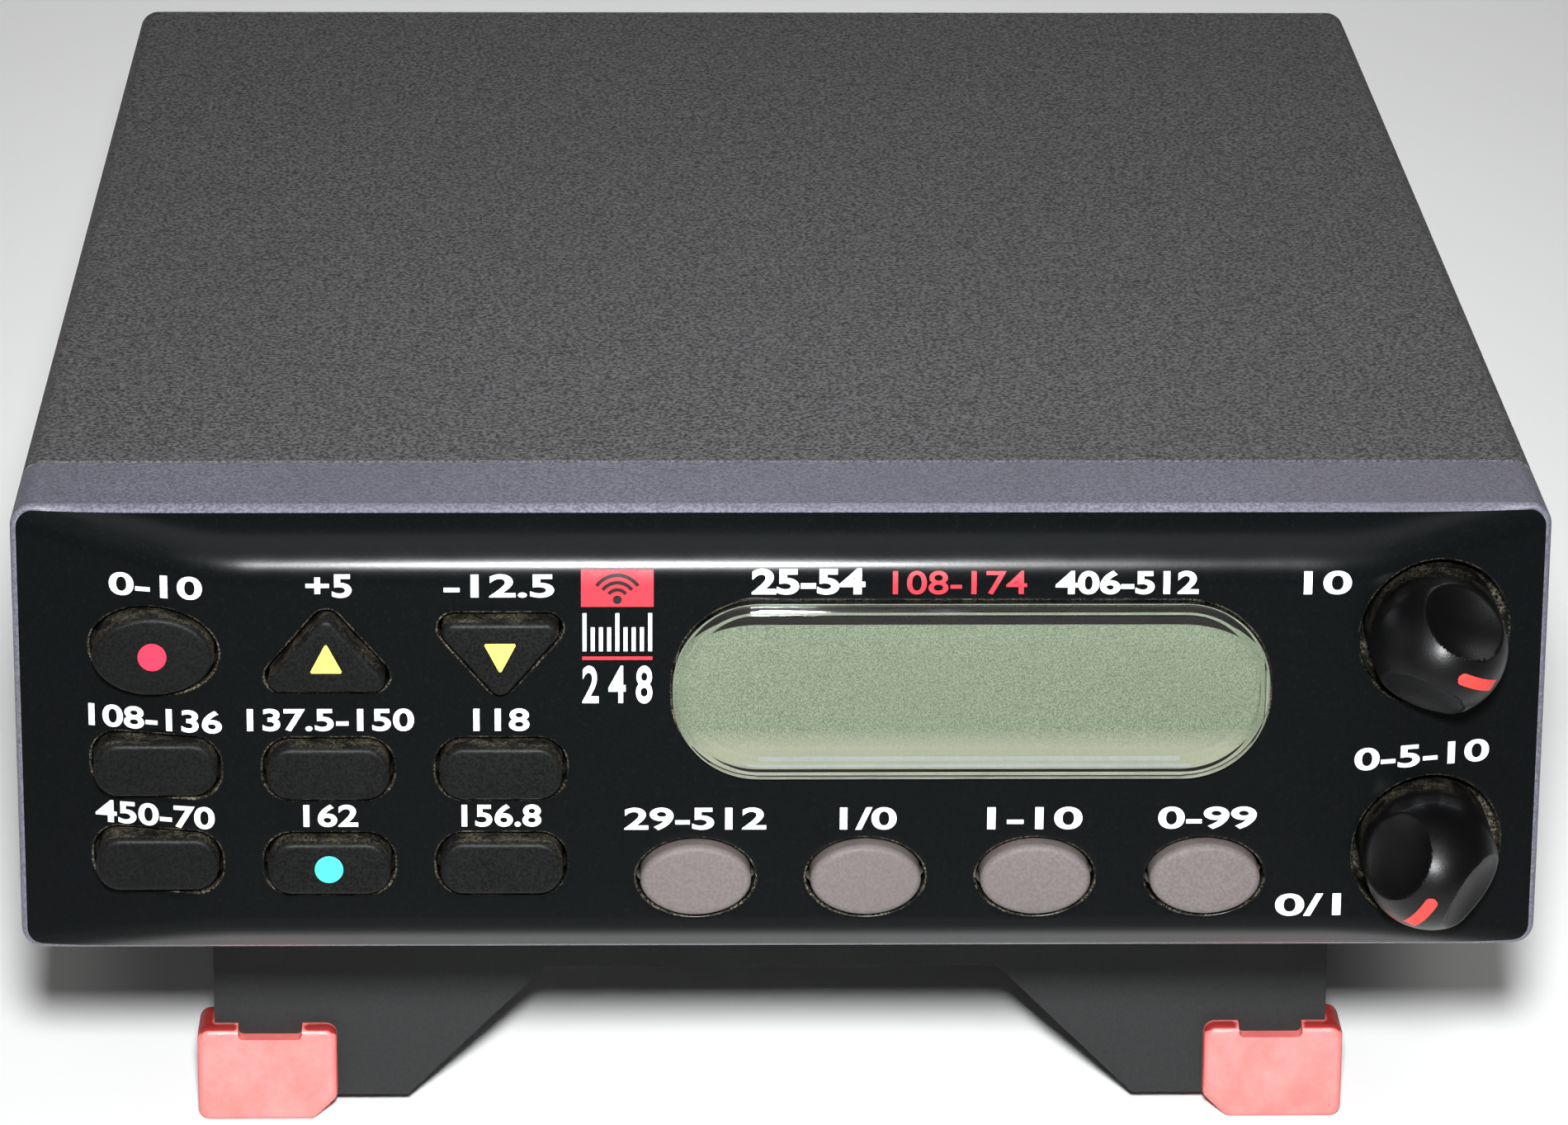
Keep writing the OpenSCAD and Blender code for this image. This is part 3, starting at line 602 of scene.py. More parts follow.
def key_cap(name, looks):
    """A rubber key: flat cap with rounded shoulders, flange behind the panel, plunger."""
    kind, rise, x, z = KEYS[name]
    outline = key_outline(kind, x, z)
    solid = Solid()
    face = surface(x, z) - rise
    rings = []
    for share in (0.25, 0.5, 0.75, 0.9):
        shoulder = grown(outline, -KEY_GAP - KEY_ROUND)
        places = [(x + (a - x) * share, z + (b - z) * share) for a, b in shoulder]
        rings.append(solid.ring(places, face - KEY_CROWN * (1 - share**2)))
    for out, along in fillet(7):
        places = grown(outline, -KEY_GAP - KEY_ROUND * out)
        rings.append(solid.ring(places, face + KEY_ROUND * along, 0.9 * along**2))
    wall = grown(outline, -KEY_GAP)
    flange = grown(outline, KEY_FLANGE)
    plunger = []
    for a, b in wall:
        length = math.hypot(a - x, b - z)
        plunger.append((x + (a - x) / length * PLUNGER_R, z + (b - z) / length * PLUNGER_R))
    back = KEY_FLANGE_Y + KEY_FLANGE_T
    for places, y, dust_and_shade in (
        (wall, face + rise + 0.3, 1.0), (wall, KEY_FLANGE_Y, 0.5), (flange, KEY_FLANGE_Y, 0.0),
        (flange, back, 0.0), (plunger, back, 0.0), (plunger, PLUNGER_END, 0.0),
    ):
        rings.append(solid.ring(places, y, dust_and_shade))
    solid.tube(rings)
    solid.cap(rings[0], y=face - KEY_CROWN)
    solid.cap(rings[-1])
    slot = "key_grey" if kind == "small_oval" else "key_rubber"
    solid.piece(f"{name}_key_cap", [looks[slot]], f"{name}_key", slot, [f"key_{name}"], 60.0)


def key_mark(name, outline, look):
    """A printed mark on the top of a key."""
    _, rise, x, z = KEYS[name]
    top = surface(x, z) - rise - KEY_CROWN
    solid = Solid()
    solid.closed([solid.ring(grown(outline, 0), y) for y in (top - 0.04, top + 0.15)])
    solid.piece(f"{name}_mark", [look], f"{name}_key")


# ---- Knobs ----


def knob_height(u, v):
    """Height of the knob's top over the rim plane; u runs across the pointer, v along it."""
    dome = KNOB_RISE - DOME_H + DOME_H * math.sqrt(max(1 - (u * u + v * v) / DOME_R**2, 0))
    off = (abs(u) - SCOOP_OUT) ** 2 + v * v
    if off >= SCOOP_R**2:
        return dome
    scoop = KNOB_RISE + SCOOP_UP - math.sqrt(SCOOP_R**2 - off)
    return -float(soft_max(-dome, -scoop, 0.15))


def knob(name, joint, angle, look, mark):
    """A control knob: round and domed, with a scoop on each side of its pointer."""
    x, z = level_place(joint)
    turn = math.radians(angle)
    along = Vector((math.sin(turn), math.cos(turn)))
    across = Vector((math.cos(turn), -math.sin(turn)))

    def place(u, v):
        p = across * u + along * v
        return x + p.x, z + p.y

    solid, steps, layers, edge = Solid(), 160, 56, KNOB_EDGE
    turns = [2 * math.pi * i / steps for i in range(steps)]

    def top_ring(reach, drop=0.0):
        ring = []
        for a in turns:
            u, v = reach * math.sin(a), reach * math.cos(a)
            px, pz = place(u, v)
            ring.append(solid.point(px, drop - knob_height(u, v), pz))
        return ring

    def flat_ring(reach, y, dust_and_shade=0.0):
        return solid.ring([place(reach * math.sin(a), reach * math.cos(a)) for a in turns], y, dust_and_shade)

    bore = SHAFT_R + 0.05
    rings = [top_ring((KNOB_R - edge) * k / layers) for k in range(1, layers + 1)]
    rings += [top_ring(KNOB_R - edge * out, edge * down) for out, down in fillet()[1:]]
    rings += [
        flat_ring(KNOB_R, -4.5, 0.1), flat_ring(KNOB_R, -2.0, 1.0),
        flat_ring(KNOB_R, KNOB_BACK - 0.2, 0.3), flat_ring(KNOB_R - 0.2, KNOB_BACK),
        flat_ring(bore, KNOB_BACK), flat_ring(bore, -KNOB_CORE),
    ]
    solid.tube(rings)
    solid.cap(rings[0], centre=(x, -knob_height(0, 0), z))
    solid.cap(rings[-1])
    body = joint.split("_")[0]
    solid.piece(f"{name}_shell", [look], body, "knob_gloss", [name], 50.0)

    line, half, rows, round_rows, end = Solid(), POINTER_HALF, 24, 3, KNOB_R - POINTER_OUT
    strips = []
    for lift in (POINTER_RISE, -0.25):
        left, right = [], []
        for i in range(rows + 1):
            v = POINTER_IN + (end - POINTER_IN) * i / rows
            w = half
            if i < round_rows:
                w *= math.sqrt(max(1 - (1 - i / round_rows) ** 2, 0.05))
            for side, store in ((-1, left), (1, right)):
                px, pz = place(side * w, v)
                store.append(line.point(px, -knob_height(side * w, v) - lift, pz))
        strips.append((left, right))
    (l0, r0), (l1, r1) = strips
    for i in range(rows):
        line.faces += [
            (l0[i], r0[i], r0[i + 1], l0[i + 1]), (l1[i], l1[i + 1], r1[i + 1], r1[i]),
            (l0[i], l0[i + 1], l1[i + 1], l1[i]), (r0[i], r1[i], r1[i + 1], r0[i + 1]),
        ]
        line.inks += [0] * 4
    line.faces += [(l0[0], l1[0], r1[0], r0[0]), (l0[-1], r0[-1], r1[-1], l1[-1])]
    line.inks += [0, 0]
    line.piece(f"{name}_pointer", [mark], body, sharp=60.0)


# ---- Display ----


def display_cover(look):
    """The clear window: a solid block with rounded ends and a flange behind the panel."""
    outline = window_outline()
    solid = Solid()
    front, seat, gap, edge = -BULGE - WINDOW_RISE, -BULGE + PANEL_T, WINDOW_GAP, WINDOW_EDGE
    rings = []
    for inset, top in ((gap + edge + WINDOW_LEDGE, front), (gap, front + WINDOW_STEP)):
        for out, along in fillet(5):
            rings.append(solid.ring(grown(outline, -inset - edge * out), top + edge * along))
    back = seat + WINDOW_FLANGE_T
    for grow, y in ((-gap, seat), (WINDOW_FLANGE, seat), (WINDOW_FLANGE, back)):
        rings.append(solid.ring(grown(outline, grow), y))
    solid.closed(rings)
    solid.piece("display_cover", [look], "chassis", "window_clear", ["display_window"], 50.0)


def display_trim(mask, highlight_ink):
    """Painted shadow and painted highlights: a dark sheet over the top of the display, where the
    window's edge shades it, and pale strips under its foot, where its lower edge reflects light.
    """
    outline = denser(window_outline(), 0.8)
    behind = -BULGE + PANEL_T + WINDOW_FLANGE_T
    front, back = behind + 0.01, behind + 0.04
    # Painted shadow: a black sheet just behind the window's flange covers the top of the display,
    # lowered at the top edge, where the window's rim shades it.
    lowered = [(x, z - SHADOW_DROP * max(nz, 0), nx, nz) for x, z, nx, nz in outline]
    above, below = grown(outline, 0.3), grown(lowered, -0.12)
    around = ((above, front), (below, front), (below, back), (above, back), (above, front))
    solid = Solid()
    solid.tube([solid.ring(places, y) for places, y in around])
    solid.piece("display_painted_shadow", [mask], "chassis")
    # Painted highlights: two pale strips under the display's foot stand in for the lines of light
    # that the window's lower edge reflects.
    foot, half = WINDOW_Z - WINDOW_H / 2, WINDOW_W / 2 - WINDOW_R
    for i, (low, tall) in enumerate(((0.3, 0.25), (0.9, 0.4))):
        wide = 2 * half + 2 - 2 * i
        shape = grown(rounded_rect(WINDOW_X, foot + low + tall / 2, wide, tall, 0.1, 4), 0)
        strip = Solid()
        strip.closed([strip.ring(shape, y) for y in (front, back)])
        strip.piece(f"display_highlight_strip_{i + 1}", [highlight_ink], "chassis")


# ---- Stand caps ----


def stand_cap(side, name, look):
    """Rubber cap on a lower corner of the stand, hollow where the plate goes in."""
    outer, low, high = STAND_W / 2 + CAP_WALL, -CAP_DROP, -CAP_DROP + CAP_H
    front, back = STAND_Y - STAND_T / 2 - CAP_WALL, STAND_Y + STAND_T / 2 + CAP_WALL
    r, edge, chamfer = CAP_R, CAP_EDGE, 1.6
    left = outer - CAP_W + r
    corners = [
        (left + chamfer, low + r), (outer - r, low + r), (outer - r, high - r), (left, high - r),
        (left, low + chamfer + r),
    ]
    outline = denser(rounded(corners, r, 6), 0.8)
    floor_rise = -INWARD.z / UPWARD.z

    def lean(ring, y):
        """Lifts the ring's lower points so that the cap's underside lies flat on the floor."""
        for i in ring:
            px, _, pz = solid.points[i]
            share = max(0.0, min(1.0, (high - pz) / CAP_H * 1.6 - 0.6))
            solid.points[i] = (side * px, y, pz + (y - front) * floor_rise * share)
            # Marks the top behind the front face for the cap's painted shade.
            if pz > high - 0.6 and y > front + 0.3:
                solid.dust_and_shade[i] = 0.7
        return ring

    solid = Solid()
    rings, face = [], grown(outline, -edge)
    mid_x, mid_z = np.mean(face, axis=0)
    for part in (0.25, 0.5, 0.75):
        y = front - 0.25 * (1 - part**2)
        places = [(mid_x + (a - mid_x) * part, mid_z + (b - mid_z) * part) for a, b in face]
        rings.append(lean(solid.ring(places, y), y))
    # The rings' third number marks painted shade: growing round the front edge, full along the
    # sides, none on the back edge.
    for out, along in fillet(5):
        y = front + edge * along
        rings.append(lean(solid.ring(grown(outline, -edge * out), y, 0.25 * along), y))
    for k in range(1, 6):
        y = front + edge + (back - front - 2 * edge) * k / 5
        rings.append(lean(solid.ring(grown(outline, 0), y, 0.25), y))
    for out, along in reversed(fillet(5)):
        y = back - edge * along
        rings.append(lean(solid.ring(grown(outline, -edge * out), y), y))
    solid.closed(rings)
    cap = solid.piece(f"{name}_rubber", [look], "stand", "cap_rubber", [name], 60.0)
    plate = rounded_rect(side * (STAND_W / 2 - 10), low + 2.1 + 10, 20 + 0.02, 20, 0.4, 3)
    mouth = rounded_rect(side * (outer - CAP_W / 2 - 0.3), high + 0.6, 6.0, 3.4, 0.5, 4)
    tools = ((plate, STAND_Y - STAND_T / 2, STAND_Y + STAND_T / 2), (mouth, front - 1, STAND_Y))
    for k, (shape, *depths) in enumerate(tools):
        tool = Solid()
        tool.closed([tool.ring(grown(shape, 0), y) for y in depths])
        subtract(cap, tool, f"{name}_tool_{k}")


def subtract(piece, solid, name):
    """Cuts a solid out of a finished piece."""
    mesh = solid.mesh(name)
    faces_out(mesh)
    tool = add_object(name, mesh)
    cut = modify(piece, "cut", "BOOLEAN", object=tool, operation="DIFFERENCE", solver="EXACT")
    for m in piece.modifiers:
        m.show_viewport = m == cut
    result = evaluated_mesh(piece)
    piece.modifiers.remove(cut)
    for m in piece.modifiers:
        m.show_viewport = True
    piece.data = result
    result.set_sharp_from_angle(angle=math.radians(50))
    bpy.data.objects.remove(tool)


# ---- Printing on the panel ----


def letters(text, centre, width, low, height=LETTER_H, weight=0.022):
    """Numerals fitted to a width and a height, as points across and up with their faces."""
    curve = bpy.data.curves.new("numerals", "FONT")
    curve.body = text
    curve.offset = weight
    curve.extrude = 0.01
    holder = add_object("numerals", curve)
    mesh = evaluated_mesh(holder)
    bpy.data.objects.remove(holder)
    co = np.array([v.co for v in mesh.vertices])
    size = co.max(0) - co.min(0)
    flat = (co - co.min(0)) / np.where(size > 0, size, 1)
    points = [
        (centre + (a - 0.5) * width, low + b * height, INK_OUT if c > 0.5 else INK_IN)
        for a, b, c in flat
    ]
    faces = [tuple(p.vertices) for p in mesh.polygons]
    bpy.data.meshes.remove(mesh)
    return points, faces


def bar(x0, x1, z0, z1):
    """A printed block, as points and faces."""
    points, faces = [], [(0, 1, 2, 3), (7, 6, 5, 4)]
    for y in (INK_OUT, INK_IN):
        points += [(x0, z0, y), (x1, z0, y), (x1, z1, y), (x0, z1, y)]
    faces += [(i, i + 4, (i + 1) % 4 + 4, (i + 1) % 4) for i in range(4)]
    return points, faces


def band(x, z, r0, r1, start, turn, steps=14):
    """A printed curved stroke."""
    points, faces = [], []
    for i in range(steps + 1):
        a = math.radians(start + turn * i / steps)
        for r in (r0, r1):
            for y in (WAVE_OUT, INK_IN):
                points.append((x + r * math.cos(a), z + r * math.sin(a), y))
    for i in range(steps):
        a, b = 4 * i, 4 * i + 4
        faces += [
            (a, a + 2, b + 2, b), (a + 1, b + 1, b + 3, a + 3), (a, b, b + 1, a + 1),
            (a + 2, a + 3, b + 3, b + 2),
        ]
    last = 4 * steps
    faces += [(0, 1, 3, 2), (last, last + 2, last + 3, last + 1)]
    return points, faces


def print_on_panel(name, parts, ink):
    """Lays printed parts on the curved panel as one thin piece, cut fine enough to follow it."""
    points, faces = [], []
    for part_points, part_faces in parts:
        first = len(points)
        points += [(x, y, z) for x, z, y in part_points]
        faces += [tuple(first + i for i in f) for f in part_faces]
    mesh = bpy.data.meshes.new(name)
    mesh.from_pydata([Vector(p) for p in points], [], faces)
    work = bmesh.new()
    work.from_mesh(mesh)
    for axis, fine in ((2, 0.25), (0, 0.6)):
        values = [v.co[axis] for v in work.verts]
        normal = Vector([float(i == axis) for i in range(3)])
        for k in range(math.ceil(min(values) / fine), math.floor(max(values) / fine) + 1):
            geometry, at = work.verts[:] + work.edges[:] + work.faces[:], normal * (k * fine)
            bmesh.ops.bisect_plane(work, geom=geometry, plane_co=at, plane_no=normal)
    for v in work.verts:
        v.co.y += surface(v.co.x, v.co.z)
    work.to_mesh(mesh)
    work.free()
    mesh.materials.append(ink)
    mesh.transform(LEVEL)
    settle(mesh, name, "chassis")


def legends(white, red, black):
    """All print on the panel: numerals by the keys, knobs and window, and the emblem."""
    a, b, c = (KEYS[k][2] for k in ("hold", "up", "down"))
    f = [KEYS[f"function_{i}"][2] for i in range(1, 5)]
    knob_x, _ = level_place("squelch_turn")
    # Text, middle across, width and foot
    row = [
        ("0-10", a + 0.3, 8.2, ROW_1 - 0.3), ("+5", b + 0.25, 4.0, ROW_1),
        ("-12.5", c - 0.1, 9.6, ROW_1),
        ("108-136", a, 11.8, ROW_2 - 0.25), ("137.5-150", b + 0.25, 14.6, ROW_2),
        ("118", c + 0.05, 4.9, ROW_2),
        ("450-70", a - 0.2, 10.6, ROW_3 - 0.3), ("162", b + 0.15, 4.8, ROW_3),
        ("156.8", c, 7.0, ROW_3),
        ("29-512", f[0] - 0.05, 12.5, ROW_F), ("1/0", f[1] + 0.2, 5.0, ROW_F),
        ("1-10", f[2] - 0.1, 8.4, ROW_F), ("0-99", f[3] + 0.15, 8.7, ROW_F),
        ("10", knob_x - 9.7, 4.2, 34.5), ("0-5-10", knob_x - 0.7, 12.2, 18.0),
        ("0/1", knob_x - 10.5, 5.85, 4.4),
    ]
    print_on_panel("key_numerals", [letters(*r) for r in row], white)
    outer_bands = [
        letters("25-54", 2.15, 9.9, ROW_TOP, 2.3, 0.035),
        letters("406-512", 29.95, 12.5, ROW_TOP, LETTER_H, 0.03),
    ]
    print_on_panel("band_numerals", outer_bands, white)
    middle_band = letters("108-174", 15.35, 11.7, ROW_TOP, LETTER_H, 0.01)
    print_on_panel("middle_band_numerals", [middle_band], red)
    left, right, wave_foot, scale_foot = -17.66, -11.34, 34.1, 29.35
    middle = (left + right) / 2
    print_on_panel("emblem_block", [bar(left, right, 33.45, 36.8)], red)
    waves = [band(middle, wave_foot, r, r + 0.32, 35, 110) for r in (0.75, 1.4, 2.05)]
    waves.append(band(middle, wave_foot, 0.0, 0.4, 0, 360, 20))
    print_on_panel("emblem_waves", waves, black)
    scale = []
    for i in range(9):
        x = left + 0.3 + (right - left - 0.6) * i / 8
        tall = 3.5 if i % 4 == 0 else 2.2
        scale.append(bar(x - 0.17, x + 0.17, scale_foot, scale_foot + tall))
    scale.append(letters("2 4 8", middle, right - left - 0.2, 24.5, 3.5, 0.02))
    print_on_panel("emblem_scale", scale, white)
    print_on_panel("emblem_line", [bar(left + 0.1, right - 0.1, 28.55, 28.85)], red)


# ---- CAD nodes that keep their shape ----


def dress(names, look, width):
    """Gives CAD nodes a finish and rounded edges, without touching their own meshes."""
    bevel = {"segments": 3, "limit_method": "ANGLE", "angle_limit": math.radians(40)}
    for o in (NODES[name] for name in names):
        o.data.materials.clear()
        o.data.materials.append(look)
        if width:
            modify(o, "weld", "WELD", merge_threshold=0.00001)
            modify(o, "bevel", "BEVEL", width=width * MM, use_clamp_overlap=True, **bevel)
            modify(o, "even_normals", "WEIGHTED_NORMAL", keep_sharp=True)


# ---- Finishes ----


def glossy_panel(name):
    """Black gloss plastic with a fine ripple and dust round its openings."""
    look = Look(name, Specular_IOR_Level=0.1)
    specks = look.spread(look.noise(0.3, 4.0, 0.75), 0.56, 0.7)
    share = look.maths("MAXIMUM", look.maths("MULTIPLY", specks, 0.02), look.dusting())
    look.paint(share, (0.003, 0.0037, 0.004), DUST)
    smooth = look.spread(look.noise(9.0, 4.0, 0.6), 0.3, 0.7, 0.17, 0.23)
    look.set("Roughness", look.maths("ADD", smooth, look.maths("MULTIPLY", share, 0.5)))
    look.bump(look.noise(0.35, 3.0, 0.6), 0.0022)
    return look.material


def clear_window(name):
    """Clear moulded plastic with a faint haze."""
    look = Look(name, Transmission_Weight=1.0, IOR=1.47)
    haze = look.noise(5.0, 3.0)
    look.paint(haze, (0.93, 0.97, 0.93), (0.97, 0.99, 0.95))
    look.rough(haze, 0.01, 0.05)
    return look.material


def liquid_crystal(name):
    """Unlit liquid crystal: grey-green with a fine speckle, and a painted cream glow along its foot
    that stands in for light reflected there.
    """
    look = Look(name, Specular_IOR_Level=0.2)
    fine = look.noise(0.13, 1.0, 0.6)
    broad = look.noise(18.0, 2.0)
    base = look.mix(look.spread(fine, 0.38, 0.62), (0.26, 0.32, 0.225), (0.6, 0.65, 0.5))
    base = look.mix(look.spread(broad, 0.35, 0.65, 0, 0.25), base, (0.38, 0.46, 0.35))
    # Painted reflection: the display turns cream towards its foot.
    low = look.spread(look.height(), WINDOW_Z - 4.2, WINDOW_Z - 6.2, 0.0, 0.8)
    look.paint(low, base, (0.78, 0.76, 0.6))
    look.rough(fine, 0.45, 0.7)
    look.bump(fine, 0.01)
    return look.material


def salmon_rubber(name):
    """Salmon rubber, blotchy and with fine dark grime; painted shade makes it darker towards its
    edges, so that its front looks paler.
    """
    look = Look(name, Subsurface_Weight=0.15, Specular_IOR_Level=0.5)
    look.shader.inputs["Subsurface Radius"].default_value = (0.002, 0.0006, 0.0004)
    blotch = look.noise(3.5, 4.0, 0.65)
    fine = look.noise(0.3, 3.0, 0.6)
    base = look.mix(look.spread(blotch, 0.35, 0.7), (0.84, 0.17, 0.158), (0.92, 0.24, 0.225))
    # Painted shade: where the mesh's attribute marks the cap's sides and top, the rubber turns dark
    # red.
    edge = look.maths("MULTIPLY", look.attribute("dust_and_shade"), look.spread(blotch, 0.3, 0.6, 1.5, 3.0))
    base = look.mix(edge, base, (0.3, 0.02, 0.017))
    grime = look.spread(look.noise(0.5, 4.0, 0.8), 0.62, 0.72, 0, 0.35)
    look.paint(grime, base, (0.3, 0.07, 0.06))
    look.rough(blotch, 0.3, 0.5)
    look.bump(look.maths("ADD", look.noise(1.6, 3.0), look.maths("MULTIPLY", fine, 0.3)), 0.07)
    return look.material


def circuit_board(name, colour):
    """Solder mask over copper tracks, with round solder spots."""
    look = Look(name, Specular_IOR_Level=0.5)
    inputs = {"Vector": look.place, "Scale": 120, "Distortion": 14, "Detail": 0}
    tracks = look.add("ShaderNodeTexWave", inputs, wave_type="BANDS", bands_direction="X")
    lines = look.spread(tracks.outputs["Fac"], 0.62, 0.7)
    base = look.mix(lines, colour, shade(colour, 1.9))
    spots = look.spread(look.cells(3.2), 0.16, 0.2, 1.0, 0.0)
    look.paint(spots, base, (0.6, 0.58, 0.54))
    look.set("Metallic", look.maths("MULTIPLY", spots, 0.8))
    look.set("Roughness", look.spread(spots, 0, 1, 0.35, 0.25))
    look.bump(look.maths("ADD", lines, spots), 0.05)
    return look.material


def paper(name, colour):
    """Pressed fibre, as in a loudspeaker cone."""
    look = Look(name, Specular_IOR_Level=0.15)
    fibres = look.noise(0.5, 5.0, 0.75, (1, 3, 1))
    share = look.spread(fibres, 0.35, 0.65)
    look.paint(share, shade(colour, 0.7), shade(colour, 1.35))
    look.rough(fibres, 0.8, 0.95)
    look.bump(fibres, 0.06)
    return look.material


def lamp_glass(name):
    """Glass of a small lamp, warm and slightly uneven."""
    look = Look(name, Transmission_Weight=0.7, IOR=1.5)
    drift = look.noise(1.2, 2.0)
    look.paint(drift, (1.0, 0.78, 0.45), (1.0, 0.9, 0.7))
    look.rough(drift, 0.05, 0.2)
    return look.material


def scratched(name, colour, rough, **sockets):
    """Matt moulded plate with fine pale scratches."""
    look = Look(name, **sockets)
    fine = look.noise(0.28, 3.0, 0.6)
    base = look.mix(look.spread(fine, 0.3, 0.7), shade(colour, 0.85), shade(colour, 1.15))
    for stretch, share in (((9, 1, 0.5), 0.35), ((0.6, 1, 8), 0.3)):
        marks = look.spread(look.noise(3.0, 3.0, 0.7, stretch), 0.68, 0.72, 0, share)
        base = look.mix(marks, base, shade(colour, 2.0))
    look.set("Base Color", base)
    look.rough(look.noise(8.0, 3.0), rough * 0.85, rough * 1.1)
    look.bump(fine, 0.015)
    return look.material


# ---- Light, floor and camera ----


def pale_floor():
    mesh = bpy.data.meshes.new("floor")
    half = 4.0
    corners = [(-half, -half, 0), (half, -half, 0), (half, half, 0), (-half, half, 0)]
    mesh.from_pydata(corners, [], [(0, 1, 2, 3)])
    floor = add_object("floor", mesh)
    look = Look("floor_paint", Specular_IOR_Level=0.1)
    soft = look.noise(60.0, 2.0)
    look.paint(soft, (0.8, 0.8, 0.79), (0.84, 0.84, 0.83))
    look.rough(soft, 0.85, 0.95)
    mesh.materials.append(look.material)


def soft_light(name, place, aim, size, power, colour=(1, 1, 1), spread=180):
    """A round area light, its place and size in metres and its spread in degrees."""
    data = bpy.data.lights.new(name, "AREA")
    data.shape, data.size, data.energy, data.color = "DISK", size, power, colour
    data.spread = math.radians(spread)
    light = add_object(name, data)
    light.location = place
    light.rotation_euler = (Vector(aim) - Vector(place)).to_track_quat("-Z", "Y").to_euler()


def studio():
    """A small key light over the lens, and large faint ones behind, in front and on the left."""
    world = bpy.data.worlds.new("studio")
    world.use_nodes = True
    sky = world.node_tree.nodes["Background"]
    sky.inputs["Color"].default_value = (1.0, 0.95, 0.9, 1)
    sky.inputs["Strength"].default_value = 0.04
    bpy.context.scene.world = world
    key = LEVEL @ Vector((-12, -560, 312))
    aim = LEVEL @ Vector((0, 60, 20))
    cool = (0.97, 0.985, 1.0)
    soft_light("key_light", key, aim, size=0.07, power=0.63, colour=cool, spread=46)
    soft_light("rear_light", (0.6, 1.7, 1.6), (0, 0, 0), size=1.0, power=8.0)
    soft_light("floor_light", (0, -1.0, 1.5), (0, -1.2, 0), size=1.2, power=4.5, spread=110)
    soft_light("left_light", (-1.1, 0.1, 0.35), (0, 0, 0.03), size=0.7, power=0.7)


def camera():
    """The photograph's viewpoint, given in the level position."""
    data = bpy.data.cameras.new("camera")
    data.sensor_width, data.lens = CAMERA_SENSOR, CAMERA_LENS
    data.clip_start, data.clip_end = 0.05, 20
    pitch, yaw, roll = (math.radians(a) for a in (CAMERA_PITCH, CAMERA_YAW, CAMERA_ROLL))
    forward = Vector((
        math.sin(yaw) * math.cos(pitch), math.cos(yaw) * math.cos(pitch), -math.sin(pitch)
    ))
    right = Vector((math.cos(yaw), -math.sin(yaw), 0))
    up = right.cross(forward)
    x = right * math.cos(roll) + up * math.sin(roll)
    y = up * math.cos(roll) - right * math.sin(roll)
    turned = TILT @ Matrix((x, y, -forward)).transposed()
    view = add_object("camera", data)
    view.matrix_world = Matrix.Translation(LEVEL @ Vector(CAMERA_AT)) @ turned.to_4x4()
    bpy.context.scene.camera = view


# ---- The scanner ----


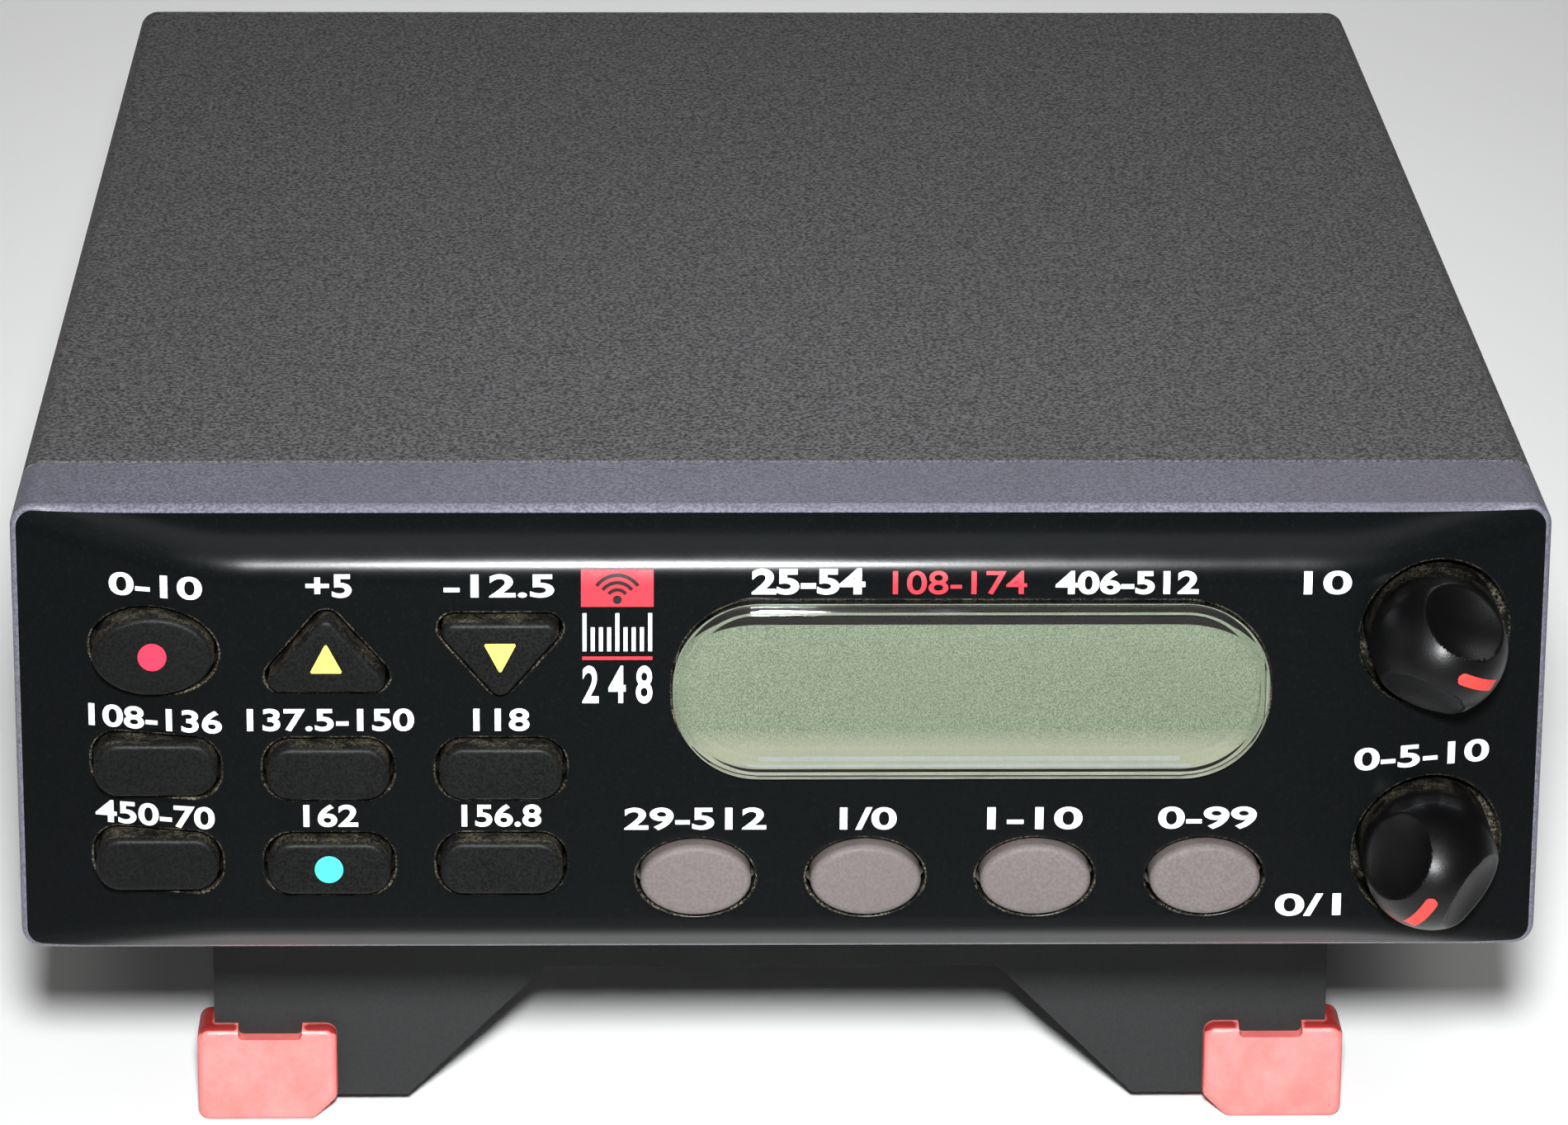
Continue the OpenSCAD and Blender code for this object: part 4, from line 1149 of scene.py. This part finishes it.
# Each finish: its maker, and the maker's numbers in order.
FINISHES = {
    "cover_plastic": (moulded, (0.086, 0.083, 0.085), 0.6, 0.36, 0.08, 0.6, 0.0, 0.12),
    "case_plastic": (moulded, (0.134, 0.131, 0.166), 0.5, 0.3, 0.03, 0.35),
    "stand_plastic": (scratched, (0.0165, 0.0175, 0.0175), 0.55),
    "bottom_plastic": (moulded, (0.062, 0.064, 0.068), 0.6, 0.4, 0.03, 0.2),
    "panel_gloss": (glossy_panel,),
    "rear_aluminium": (brushed, (0.62, 0.63, 0.65), 0.4),
    "black_screw": (brushed, (0.03, 0.03, 0.032), 0.4, (30, 30, 1)),
    "steel": (brushed, (0.6, 0.6, 0.6), 0.28, (1, 30, 30)),
    "foot_rubber": (moulded, (0.018, 0.018, 0.018), 0.75, 0.4, 0.04),
    "cap_rubber": (salmon_rubber,),
    "window_clear": (clear_window,),
    "display_liquid_crystal": (liquid_crystal,),
    "white_plastic": (moulded, (0.74, 0.72, 0.62), 0.5, 0.3, 0.01, 0.04),
    "lamp_glass": (lamp_glass,),
    "contact_rubber": (moulded, (0.42, 0.1, 0.17), 0.6, 0.2, 0.02),
    "circuit_board": (circuit_board, (0.012, 0.09, 0.03)),
    "mat_rubber": (moulded, (0.1, 0.1, 0.11), 0.7, 0.4, 0.02),
    "gold_pads": (brushed, (0.75, 0.52, 0.2), 0.25, (20, 20, 20)),
    "black_plastic": (moulded, (0.012, 0.012, 0.012), 0.45, 0.3, 0.01),
    "knob_gloss": (moulded, (0.0015, 0.0015, 0.0018), 0.42, 0.22, 0.015, 0.1, 0.7),
    "aluminium_shaft": (brushed, (0.7, 0.7, 0.72), 0.3, (30, 1, 30)),
    "control_plastic": (moulded, (0.06, 0.06, 0.09), 0.45, 0.3, 0.01),
    "tinned_steel": (brushed, (0.68, 0.69, 0.7), 0.25, (1, 10, 10)),
    "chip_plastic": (moulded, (0.012, 0.012, 0.013), 0.6, 0.15, 0.01),
    "capacitor_sleeve": (moulded, (0.02, 0.025, 0.08), 0.35, 0.5, 0.005),
    "magnet_ferrite": (moulded, (0.035, 0.034, 0.034), 0.7, 0.3, 0.05, 0.3),
    "cone_paper": (paper, (0.035, 0.033, 0.03)),
    "lead_plastic": (moulded, (0.35, 0.02, 0.02), 0.45, 0.4, 0.01),
    "chrome_plate": (brushed, (0.72, 0.72, 0.73), 0.14, (10, 1, 10)),
    "key_grey": (moulded, (0.127, 0.108, 0.106), 0.6, 0.3, 0.02, 0.12, 0.8),
    "key_rubber": (moulded, (0.0055, 0.0058, 0.0056), 0.45, 0.25, 0.03, 0.5, 0.9),
    "white_ink": (printed, (0.86, 0.88, 0.9)),
    "red_ink": (printed, (0.72, 0.03, 0.045)),
    "black_ink": (printed, (0.012, 0.006, 0.008)),
    "dot_red": (printed, (0.75, 0.03, 0.07)),
    "mark_yellow": (printed, (0.78, 0.66, 0.12)),
    "dot_teal": (printed, (0.06, 0.62, 0.5)),
    "pointer_red": (printed, (0.85, 0.06, 0.05)),
}

# How strongly a finish reflects, where it differs from plain plastic.
SHINE = {
    "cover_plastic": 0.18, "stand_plastic": 0.25, "knob_gloss": 0.28, "key_grey": 0.3,
    "key_rubber": 0.1,
}

# The CAD nodes that keep their shape, by finish, with the width of their rounded edges.
CAD_FINISHES = {
    "cover_plastic": (["top_cover"], 0.3),
    "bottom_plastic": (["bottom_cover"], 0.2),
    "stand_plastic": (["stand_plate"], 0.3),
    "rear_aluminium": (["rear_panel", "heat_sink"], 0.1),
    "black_screw": (["cover_screws"], 0.1),
    "steel": (["rear_screws", "stand_pins", "board_screws", "speaker_screws"], 0.1),
    "foot_rubber": (["rear_feet"], 0.5),
    "display_liquid_crystal": (["display_glass"], 0.1),
    "white_plastic": (["display_frame"], 0.15),
    "lamp_glass": (["display_lamps"], 0.05),
    "contact_rubber": (["display_connector"], 0.1),
    "circuit_board": (["front_board", "main_board"], 0.1),
    "mat_rubber": (["keypad_mat"], 0.15),
    "gold_pads": (["key_contacts"], 0.03),
    "black_plastic": (["front_header", "power_jack", "speaker_jack"], 0.15),
    "aluminium_shaft": (["volume_shaft", "squelch_shaft"], 0.15),
    "control_plastic": (["volume_control", "squelch_control"], 0.3),
    "tinned_steel": (
        ["tuner_shield", "tuner_lid", "crystal_filters", "coil_cans", "speaker_frame"], 0.1
    ),
    "chip_plastic": (["processor", "audio_amplifier", "voltage_regulator"], 0.08),
    "capacitor_sleeve": (["capacitors"], 0.4),
    "magnet_ferrite": (["speaker_magnet"], 0.4),
    "cone_paper": (["speaker_cone"], 0.1),
    "lead_plastic": (["speaker_lead"], 0),
    "chrome_plate": (["memory_cell", "antenna_jack"], 0.15),
}


def scanner():
    looks = {}
    for name, (maker, *numbers) in FINISHES.items():
        shine = {"Specular_IOR_Level": SHINE[name]} if name in SHINE else {}
        looks[name] = maker(name, *numbers, **shine)
    for slot, (names, width) in CAD_FINISHES.items():
        dress(names, looks[slot], width)
    front_bezel(looks["panel_gloss"], looks["case_plastic"])
    display_cover(looks["window_clear"])
    # Painted shadow over the top of the display and painted highlights under its foot
    display_trim(looks["black_ink"], looks["white_ink"])
    for name in KEYS:
        key_cap(name, looks)
    for name, ink in (("hold", "dot_red"), ("bank_5", "dot_teal")):
        _, _, x, z = KEYS[name]
        key_mark(name, circle(x, z, DOT_R, 40), looks[ink])
    for name, way in (("up", 1), ("down", -1)):
        _, _, x, z = KEYS[name]
        mark = triangle(x, z - 0.2 * way, MARK_W, MARK_H, way, MARK_R)
        key_mark(name, mark, looks["mark_yellow"])
    for name, angle in (("volume", VOLUME_ANGLE), ("squelch", SQUELCH_ANGLE)):
        knob(f"{name}_knob", f"{name}_turn", angle, looks["knob_gloss"], looks["pointer_red"])
    for side, name in ((-1, "stand_cap_left"), (1, "stand_cap_right")):
        stand_cap(side, name, looks["cap_rubber"])
    legends(looks["white_ink"], looks["red_ink"], looks["black_ink"])


bpy.context.scene.view_settings.view_transform = "Standard"
studio()
pale_floor()
camera()
scanner()
